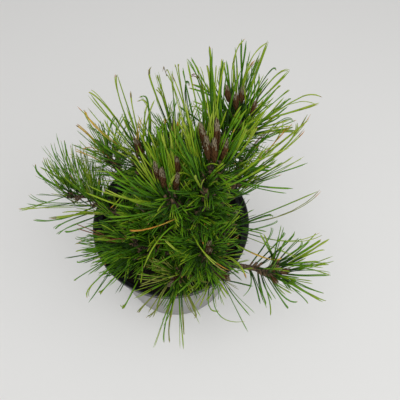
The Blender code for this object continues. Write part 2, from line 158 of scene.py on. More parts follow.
def colour_and_raise(
    tree: bpy.types.NodeTree,
    skin: bpy.types.Node,
    shade: bpy.types.NodeSocket,
    stops: Sequence[tuple[float, str]],
    relief: bpy.types.NodeSocket,
    height: float,
) -> None:
    """Gives a material its colours along a ramp, and its fine relief.

    Args:
        tree: The material's node tree.
        skin: Its Principled node.
        shade: The pattern that picks the colour.
        stops: Values of that pattern with their hex colours.
        relief: The pattern that raises the surface.
        height: How far it raises it, in metres.
    """
    ramp = add_node(tree, "ShaderNodeValToRGB", inputs={"Fac": shade})
    elements = ramp.color_ramp.elements
    while len(elements) < len(stops):
        elements.new(0.5)
    for element, (place, code) in zip(elements, stops):
        element.position = place
        element.color = linear(code)
    bump = add_node(tree, "ShaderNodeBump", inputs={"Distance": height, "Height": relief})
    tree.links.new(ramp.outputs["Color"], skin.inputs["Base Color"])
    tree.links.new(bump.outputs["Normal"], skin.inputs["Normal"])


# Finishes


@dataclass(frozen=True)
class MouldedPlastic:
    """Polypropylene, moulded: a smooth, slightly waxy skin with a faint orange-peel ripple and dust."""

    name: str
    clean: str
    dusty: str
    roughness: float
    ior: float = 1.49
    ripple_mm: float = 6.0
    ripple_height: float = 0.00012
    dust_mm: float = 22.0
    dust_starts: float = 0.42
    dust_full: float = 0.72

    def build(self) -> Finish:
        """Makes the material.

        Returns:
            The finished material.
        """
        made, tree, skin = new_finish(self.name, {"Roughness": self.roughness, "IOR": self.ior})
        place = add_node(tree, "ShaderNodeTexCoord").outputs["Object"]
        dust = add_node(
            tree,
            "ShaderNodeTexNoise",
            inputs={"Vector": place, "Scale": MM_IN_M / self.dust_mm, "Detail": 6.0, "Roughness": 0.65},
        )
        ripple = add_node(
            tree,
            "ShaderNodeTexNoise",
            inputs={"Vector": place, "Scale": MM_IN_M / self.ripple_mm, "Detail": 2.0},
        )
        stops = ((self.dust_starts, self.clean), (self.dust_full, self.dusty))
        colour_and_raise(
            tree, skin, dust.outputs["Fac"], stops, ripple.outputs["Fac"], self.ripple_height
        )
        return made


@dataclass(frozen=True)
class Compost:
    """Peat compost, damp: near black, crumbly and without any shine, with paler fibres in it."""

    name: str
    dark: str
    pale: str
    roughness: float = 0.93
    ior: float = 1.4
    grain_mm: float = 2.2
    grain_height: float = 0.0006
    dark_ends: float = 0.45
    pale_full: float = 0.78

    def build(self) -> Finish:
        """Makes the material.

        Returns:
            The finished material.
        """
        made, tree, skin = new_finish(self.name, {"Roughness": self.roughness, "IOR": self.ior})
        place = add_node(tree, "ShaderNodeTexCoord").outputs["Object"]
        grain = add_node(
            tree,
            "ShaderNodeTexNoise",
            inputs={"Vector": place, "Scale": MM_IN_M / self.grain_mm, "Detail": 5.0, "Roughness": 0.7},
        ).outputs["Fac"]
        stops = ((self.dark_ends, self.dark), (self.pale_full, self.pale))
        colour_and_raise(tree, skin, grain, stops, grain, self.grain_height)
        return made


@dataclass(frozen=True)
class PineBark:
    """Pine bark, grown: grey-brown flakes over a redder skin, dull and rough."""

    name: str
    crack: str
    skin: str
    flake: str
    flake_mm: float
    height: float
    roughness: float = 0.86
    ior: float = 1.45
    stretch: Place = (1.0, 1.0, 0.45)
    fine_per_flake: float = 4.0
    fine_share: float = 0.55
    skin_ends: float = 0.30
    flake_full: float = 0.62
    crack_full: float = 0.95

    def build(self) -> Finish:
        """Makes the material.

        Returns:
            The finished material.
        """
        made, tree, skin = new_finish(self.name, {"Roughness": self.roughness, "IOR": self.ior})
        place = add_node(tree, "ShaderNodeTexCoord").outputs["Object"]
        scale = MM_IN_M / self.flake_mm
        long = add_node(tree, "ShaderNodeMapping", inputs={"Vector": place, "Scale": self.stretch})
        flakes = add_node(
            tree, "ShaderNodeTexVoronoi", inputs={"Vector": long.outputs["Vector"], "Scale": scale}
        )
        fine = add_node(
            tree,
            "ShaderNodeTexNoise",
            inputs={"Vector": place, "Scale": self.fine_per_flake * scale, "Detail": 4.0},
        )
        mix = add_node(
            tree,
            "ShaderNodeMath",
            {"operation": "MULTIPLY_ADD"},
            {0: fine.outputs["Fac"], 1: self.fine_share, 2: flakes.outputs["Distance"]},
        ).outputs["Value"]
        stops = (
            (self.skin_ends, self.skin),
            (self.flake_full, self.flake),
            (self.crack_full, self.crack),
        )
        colour_and_raise(tree, skin, mix, stops, mix, self.height)
        return made


@dataclass(frozen=True)
class PlantSkin:
    """A leaf's or a bud scale's skin, grown: one plain colour under a thin wax, with a soft gloss."""

    name: str
    code: str
    roughness: float
    shine: float = 0.25
    ior: float = 1.45

    def build(self) -> Finish:
        """Makes the material.

        Returns:
            The finished material.
        """
        levels = {
            "Base Color": linear(self.code),
            "Roughness": self.roughness,
            "IOR": self.ior,
            "Specular IOR Level": self.shine,
        }
        return new_finish(self.name, levels)[0]


class Tone(Enum):
    """The colours that needles are dealt, from this year's growth to dead ones, as sRGB. The greens from
    LIME to SHADE also serve as painted light and painted shade: lighter and darker steps of a needle's own
    colour.
    """

    LIME = "9CB03A"
    BRIGHT = "84A01E"
    FRESH = "62900E"
    GREEN = "487808"
    DEEP = "325C06"
    SHADE = "204004"
    FINE = "5C8C24"
    PALE = "98AA6C"
    OLIVE = "80883A"
    YELLOW = "C8A644"
    ORANGE = "BE8834"
    TAN = "94804E"
    RUSSET = "7A4A2E"


# Curves and the growing rule


def unit(vector: np.ndarray) -> np.ndarray:
    """Returns the vector at length one."""
    return vector / np.linalg.norm(vector)


@dataclass(frozen=True)
class PhotoView:
    """The camera of the photograph, fitted to the pot's rim and to the plant."""

    position: Place = (0.0315, -0.203, 0.543)
    pitch: float = radians(60.85)
    roll: float = -0.006
    focal: float = 420.0
    sensor_mm: float = 36.0

    def axes(self) -> tuple[np.ndarray, np.ndarray, np.ndarray]:
        """Works out how the camera is turned.

        Returns:
            The directions to the right, up and ahead in the picture.
        """
        right = np.array((1.0, 0.0, 0.0))
        up = np.array((0.0, sin(self.pitch), cos(self.pitch)))
        ahead = np.array((0.0, cos(self.pitch), -sin(self.pitch)))
        turned = right * cos(self.roll) + up * sin(self.roll)
        return turned, up * cos(self.roll) - right * sin(self.roll), ahead

    def near(self, pixel: Pixel, point: np.ndarray) -> np.ndarray:
        """Returns where a pixel's line of sight passes nearest to a point.

        Args:
            pixel: The pixel's place from the left and from the top.
            point: The point.

        Returns:
            The nearest point on the line.
        """
        right, up, ahead = self.axes()
        across, down = ((place - PHOTO_SIDE / 2) / self.focal for place in pixel)
        line = unit(ahead + across * right - down * up)
        eye = np.array(self.position)
        return eye + line * ((point - eye) @ line)

    def build(self) -> None:
        """Makes the camera and sets it as the scene's."""
        data = bpy.data.cameras.new("photo_view")
        data.sensor_width = self.sensor_mm
        data.lens = self.focal / PHOTO_SIDE * self.sensor_mm
        camera = bpy.data.objects.new("photo_view", data)
        right, up, ahead = (Vector(axis) for axis in self.axes())
        turn = Matrix((right, up, -ahead)).transposed().to_4x4()
        camera.matrix_world = Matrix.Translation(self.position) @ turn
        bpy.context.scene.collection.objects.link(camera)
        bpy.context.scene.camera = camera


@dataclass(frozen=True)
class Arc:
    """A quadratic curve from start to end, drawn towards its middle point."""

    start: np.ndarray
    middle: np.ndarray
    end: np.ndarray

    def at(self, t: float | np.ndarray) -> np.ndarray:
        """Returns the point a share t of the way along, or a row of points for a column of shares."""
        return (1 - t) ** 2 * self.start + 2 * t * (1 - t) * self.middle + t * t * self.end

    def points(self, count: int, first: float = 0.0) -> np.ndarray:
        """Returns evenly spaced points from the share first to the end."""
        return self.at(np.linspace(first, 1.0, count)[:, None])

    def heading(self, t: float) -> np.ndarray:
        """Returns the direction of travel at t."""
        return unit((1 - t) * (self.middle - self.start) + t * (self.end - self.middle))

    def frame(self, t: float) -> tuple[np.ndarray, np.ndarray, np.ndarray]:
        """Works out the directions at a point of the curve.

        Args:
            t: The share along the curve.

        Returns:
            The direction of travel and two directions square to it and to each other.
        """
        heading = self.heading(t)
        across = np.eye(3)[np.argmin(abs(self.end - self.start))]
        first = unit(np.cross(heading, across))
        return heading, first, np.cross(heading, first)

    def leaning(self, t: float, turn: float, lean: float) -> np.ndarray:
        """Returns the direction that leans away from the curve at t.

        Args:
            t: The share along the curve.
            turn: The side that it leans towards, as an angle round the curve.
            lean: The angle between the curve and the direction.

        Returns:
            A direction at length one.
        """
        heading, first, second = self.frame(t)
        return unit(heading * cos(lean) + (first * cos(turn) + second * sin(turn)) * sin(lean))

    def before(self, t: float) -> Arc:
        """Returns the stretch up to t."""
        return Arc(self.start, (1 - t) * self.start + t * self.middle, self.at(t))

    def after(self, t: float) -> Arc:
        """Returns the stretch from t on."""
        return Arc(self.at(t), (1 - t) * self.middle + t * self.end, self.end)

    def length(self) -> float:
        """Returns its length along the straight line."""
        return float(np.linalg.norm(self.end - self.start))


@dataclass(frozen=True)
class Look:
    """How the needles of a mass look: their width, how curved they are and their colours by weight."""

    width: float
    sway: float
    tones: dict[Tone, float]
    browned: float = 0.3


FRESH = Look(
    width=0.0016,
    sway=0.32,
    tones={Tone.LIME: 1.4, Tone.BRIGHT: 3, Tone.FRESH: 6, Tone.GREEN: 6, Tone.DEEP: 4, Tone.YELLOW: 0.1},
    browned=0.12,
)
LUSH = Look(
    width=0.0013,
    sway=0.34,
    tones={Tone.LIME: 2, Tone.BRIGHT: 4, Tone.FRESH: 5, Tone.GREEN: 4, Tone.DEEP: 2, Tone.YELLOW: 0.1},
    browned=0.12,
)
TRAILING = Look(
    width=0.0011,
    sway=0.30,
    tones={Tone.LIME: 1, Tone.BRIGHT: 2, Tone.OLIVE: 5, Tone.FRESH: 5, Tone.GREEN: 3, Tone.PALE: 1},
    browned=0.12,
)
# The inner masses' needles: dark greens, partly the colour of older needles and partly painted shade deep
# in the crown.
INNER = Look(
    width=0.0011,
    sway=0.44,
    tones={Tone.FRESH: 3, Tone.GREEN: 6, Tone.DEEP: 8, Tone.SHADE: 5, Tone.RUSSET: 0.2},
    browned=0.1,
)
TWIG = Look(
    width=0.0015,
    sway=0.22,
    tones={Tone.LIME: 0.8, Tone.BRIGHT: 2.4, Tone.FRESH: 5, Tone.GREEN: 5, Tone.DEEP: 3},
    browned=0.15,
)
SPARSE = Look(
    width=0.0009,
    sway=0.36,
    tones={Tone.FINE: 6, Tone.GREEN: 4, Tone.PALE: 1, Tone.FRESH: 5, Tone.BRIGHT: 2},
    browned=0.1,
)
# Darker tones for needles that don't keep a young colour: the real colour of old needles low on a shoot,
# and also painted shade there and on needles that hang.
OLD_AND_SHADED_TONES = (Tone.FRESH, Tone.GREEN, Tone.GREEN, Tone.DEEP)
HANGING_RISE = 0.3  # a needle whose tip rises by a smaller share of its length hangs
HANGING_LIT_YOUNG = (0.1, 0.4)  # how many hanging needles keep a young colour: at the foot, and the gain; fewer than rising ones, as painted shade on needles that hang
RISING_LIT_YOUNG = (0.25, 1.0)  # the same for needles that rise
NEEDLE_SHADE_AND_LIGHT = {  # painted shade and light along a needle: the darker colour of its foot (painted shade), its own colour in the middle, and the lighter colour of its outer part (painted light)
    Tone.LIME: (Tone.DEEP, Tone.BRIGHT, Tone.LIME),
    Tone.BRIGHT: (Tone.SHADE, Tone.BRIGHT, Tone.LIME),
    Tone.FRESH: (Tone.SHADE, Tone.FRESH, Tone.BRIGHT),
    Tone.GREEN: (Tone.SHADE, Tone.GREEN, Tone.FRESH),
    Tone.DEEP: (Tone.SHADE, Tone.DEEP, Tone.GREEN),
    Tone.SHADE: (Tone.SHADE, Tone.SHADE, Tone.DEEP),
    Tone.FINE: (Tone.DEEP, Tone.FINE, Tone.FINE),
    Tone.PALE: (Tone.FRESH, Tone.PALE, Tone.PALE),
    Tone.OLIVE: (Tone.DEEP, Tone.OLIVE, Tone.OLIVE),
    Tone.YELLOW: (Tone.BRIGHT, Tone.YELLOW, Tone.YELLOW),
    Tone.ORANGE: (Tone.YELLOW, Tone.ORANGE, Tone.ORANGE),
    Tone.TAN: (Tone.TAN, Tone.TAN, Tone.TAN),
    Tone.RUSSET: (Tone.RUSSET, Tone.RUSSET, Tone.RUSSET),
}
ZONES = 3
# The mat's tones: the dark greens of old needles, darkened further as painted shade deep in the crown.
MAT_TONES = (Tone.FRESH, Tone.GREEN, Tone.GREEN, Tone.DEEP, Tone.DEEP, Tone.DEEP, Tone.SHADE)


@dataclass(frozen=True)
class Mass:
    """A limb and the mass of shoots and needles that it carries, in metres and degrees."""

    name: str
    bud: Place  # where its end bud sits
    leaves: float  # the height at which it leaves the trunk
    bow: Place  # how far its middle point is off the straight line
    bare: float  # the share of it that is bough
    needle: float  # a full needle's length
    wide: float  # a needle's lean at the stem's foot
    tight: float  # a needle's lean at the end bud
    pairs: int
    look: Look
    side_shoots: int = 3
    side_length: float = 0.45  # a side shoot's length as a share of the stem's
    pull: Place = (0.0, 0.0, 0.1)  # where the needles turn to
    buds: int = 1
    bud_length: float = 0.020
    far_tips: tuple[Place, ...] = ()  # where single long needles end


LEADER = "leader"
SOIL_HEIGHT = 0.115
TRUNK_FOOT = (0.022, -0.042, SOIL_HEIGHT + CLEAR)

MASSES = (
    Mass(LEADER, bud=(0.042, -0.011, 0.262), leaves=TRUNK_FOOT[2], bow=(-0.004, -0.016, 0.0), bare=0.64,
         needle=0.076, wide=40, tight=14, pairs=70, look=FRESH, pull=(0.0, 0.28, 0.16), buds=6,
         bud_length=0.029,
         far_tips=((0.041, 0.047, 0.328), (0.050, 0.044, 0.318), (0.023, 0.045, 0.318))),
    Mass("back_right", bud=(0.069, 0.054, 0.246), leaves=0.183, bow=(0.007, 0.014, -0.008), bare=0.50,
         needle=0.066, wide=56, tight=18, pairs=66, look=FRESH, pull=(0.05, 0.25, 0.12), buds=4,
         far_tips=((0.071, 0.095, 0.294), (0.091, 0.092, 0.295), (0.110, 0.075, 0.278),
                   (0.137, 0.049, 0.263))),
    Mass("centre", bud=(0.005, -0.023, 0.240), leaves=0.197, bow=(-0.006, 0.0, -0.003), bare=0.26,
         needle=0.070, wide=40, tight=15, pairs=72, look=FRESH, side_length=0.32,
         pull=(0.03, 0.55, 0.25), buds=4, bud_length=0.024),
    Mass("middle", bud=(0.037, -0.062, 0.196), leaves=0.160, bow=(0.001, -0.006, 0.0), bare=0.36,
         needle=0.050, wide=85, tight=26, pairs=84, look=INNER, buds=2),
    Mass("inner", bud=(-0.018, -0.014, 0.174), leaves=0.150, bow=(-0.002, -0.002, 0.001), bare=0.30,
         needle=0.045, wide=85, tight=26, pairs=150, look=INNER),
    Mass("upper_left", bud=(-0.023, 0.026, 0.222), leaves=0.159, bow=(-0.010, 0.012, -0.008), bare=0.48,
         needle=0.074, wide=54, tight=18, pairs=26, look=LUSH, side_shoots=2, pull=(-0.05, 0.30, 0.15),
         buds=2,
         far_tips=((-0.041, 0.076, 0.273), (-0.066, 0.061, 0.265))),
    Mass("left_back", bud=(-0.070, 0.064, 0.172), leaves=0.1425, bow=(-0.018, 0.018, -0.006), bare=0.50,
         needle=0.050, wide=80, tight=22, pairs=76, look=SPARSE, pull=(0.0, 0.10, 0.15),
         far_tips=((-0.089, 0.091, 0.204), (-0.098, 0.077, 0.194))),
    Mass("left", bud=(-0.107, 0.031, 0.158), leaves=0.1245, bow=(-0.015, 0.010, 0.0), bare=0.50,
         needle=0.058, wide=56, tight=20, pairs=118, look=SPARSE, side_length=0.40,
         pull=(0.10, 0.35, 0.70),
         far_tips=((-0.154, -0.001, 0.164), (-0.134, 0.039, 0.183))),
    Mass("front_left", bud=(-0.051, -0.035, 0.158), leaves=0.1345, bow=(-0.006, -0.003, 0.001),
         bare=0.30, needle=0.051, wide=62, tight=25, pairs=128, look=INNER, pull=(-0.55, -0.12, -0.05),
         far_tips=((-0.104, -0.049, 0.150), (-0.078, -0.091, 0.138))),
    Mass("front", bud=(0.008, -0.070, 0.150), leaves=0.126, bow=(-0.002, -0.004, 0.003), bare=0.36,
         needle=0.056, wide=64, tight=22, pairs=46, look=TRAILING, side_shoots=2, pull=(0.0, 0.0, 0.0),
         buds=2,
         far_tips=((-0.014, -0.131, 0.122), (0.013, -0.132, 0.120))),
    Mass("front_right", bud=(0.052, -0.068, 0.152), leaves=0.1385, bow=(0.003, -0.004, 0.002),
         bare=0.36, needle=0.052, wide=64, tight=22, pairs=20, look=TRAILING, side_shoots=2,
         pull=(0.0, 0.10, 0.10), bud_length=0.013,
         far_tips=((0.077, -0.119, 0.132),)),
    Mass("right_twig", bud=(0.110, -0.067, 0.152), leaves=0.1275, bow=(0.0, -0.002, 0.008), bare=0.60,
         needle=0.055, wide=54, tight=22, pairs=28, look=TWIG, side_shoots=2, buds=4,
         far_tips=((0.155, -0.041, 0.175), (0.156, -0.072, 0.158), (0.150, -0.092, 0.142))),
    Mass("right", bud=(0.058, -0.022, 0.170), leaves=0.151, bow=(0.003, -0.004, 0.001), bare=0.30,
         needle=0.040, wide=72, tight=25, pairs=18, look=INNER,
         far_tips=((0.141, -0.008, 0.209),)),
    Mass("right_back", bud=(0.067, 0.017, 0.200), leaves=0.167, bow=(0.008, 0.004, -0.006), bare=0.42,
         needle=0.070, wide=45, tight=22, pairs=50, look=LUSH, side_length=0.40, pull=(0.15, 0.35, 0.40),
         far_tips=((0.130, 0.045, 0.250),)),
    Mass("back", bud=(0.008, 0.050, 0.215), leaves=0.176, bow=(-0.006, 0.014, -0.010), bare=0.50,
         needle=0.056, wide=54, tight=20, pairs=70, look=SPARSE, pull=(0.0, 0.25, 0.15),
         far_tips=((-0.009, 0.090, 0.262), (0.006, 0.092, 0.262))),
)
FOLIAGE_NODES = tuple("foliage_" + mass.name for mass in MASSES)


@dataclass(frozen=True)
class Limbs:
    """The sizes of the trunk, the boughs and the shoots."""

    trunk_root: float = 0.0082
    trunk_tip: float = 0.0034
    flare: float = 0.0055
    flare_share: float = 0.07
    bough_root: float = 0.0036
    bough_tip: float = 0.0026
    stem_tip: float = 0.0019
    side_root: float = 0.0020
    side_tip: float = 0.0014
    twig_root: float = 0.0014
    twig_tip: float = 0.0010

    def trunk_radius(self, t: float) -> float:
        """Returns the trunk's radius at t: an even taper with a flare at the foot."""
        taper = self.trunk_tip + (self.trunk_root - self.trunk_tip) * (1 - t)
        return taper + self.flare * max(0.0, 1 - t / self.flare_share) ** 2


LIMBS = Limbs()


def tapering(root: float, tip: float) -> Callable[[float], float]:
    """Returns a radius that falls evenly from root to tip."""
    return lambda t: root + (tip - root) * t


def limb_arc(start: np.ndarray, mass: Mass) -> Arc:
    """Returns the whole limb of a mass, from its start to its end bud."""
    end = np.array(mass.bud)
    return Arc(start, (start + end) / 2 + np.array(mass.bow), end)


@dataclass
class Blade:
    """One needle or bud scale: its curve, width, colour, flat side, browned tip and ripple.

    The shares dark and light of its length are where its foot's colour and its middle's colour end: the
    darker foot is painted shade, and the lighter part past light is painted light.
    """

    arc: Arc
    width: float
    tone: Tone
    side: np.ndarray
    browned: float = 0.0
    ripple: float = 0.0
    dark: float = 0.0
    light: float = 0.0


@dataclass(frozen=True)
class Parting:
    """How the two needles of a pair stand apart, and how far they differ from each other."""

    spread: tuple[float, float] = (0.02, 0.07)  # the space between the tips, as shares of the length
    browned: float | None = None  # the browned share of the tips, or None to draw it
    trim: float = 0.12  # the largest share by which one is shorter than the grown curve
    dry_shares: tuple[float, float] = (0.02, 0.08)
    foot_gap: float = 0.25
    widths: tuple[float, float] = (0.85, 1.12)
    ripple: float = 0.022
    # where a needle's darker foot, painted shade, ends, and where its lighter outer part, painted light,
    # starts
    painted_shade_ends: tuple[float, float] = (0.22, 0.42)
    painted_light_starts: tuple[float, float] = (0.58, 0.78)


GROWN_PAIR = Parting()
FAR_PAIR = Parting(spread=(0.002, 0.016), browned=0.0, trim=0.02)
TRACED_PAIR = Parting(spread=(0.002, 0.016), trim=0.03)


@dataclass(frozen=True)
class Traced:
    """A pair of needles that the photo shows by itself, by the pixels of its middle and its tip."""

    share: float  # where along the whole limb it stands
    tone: Tone
    middle: Pixel
    tip: Pixel
    width: float = 0.0013
    browned: float = 0.03
    nearer: float = 0.0  # how far it leans towards the camera


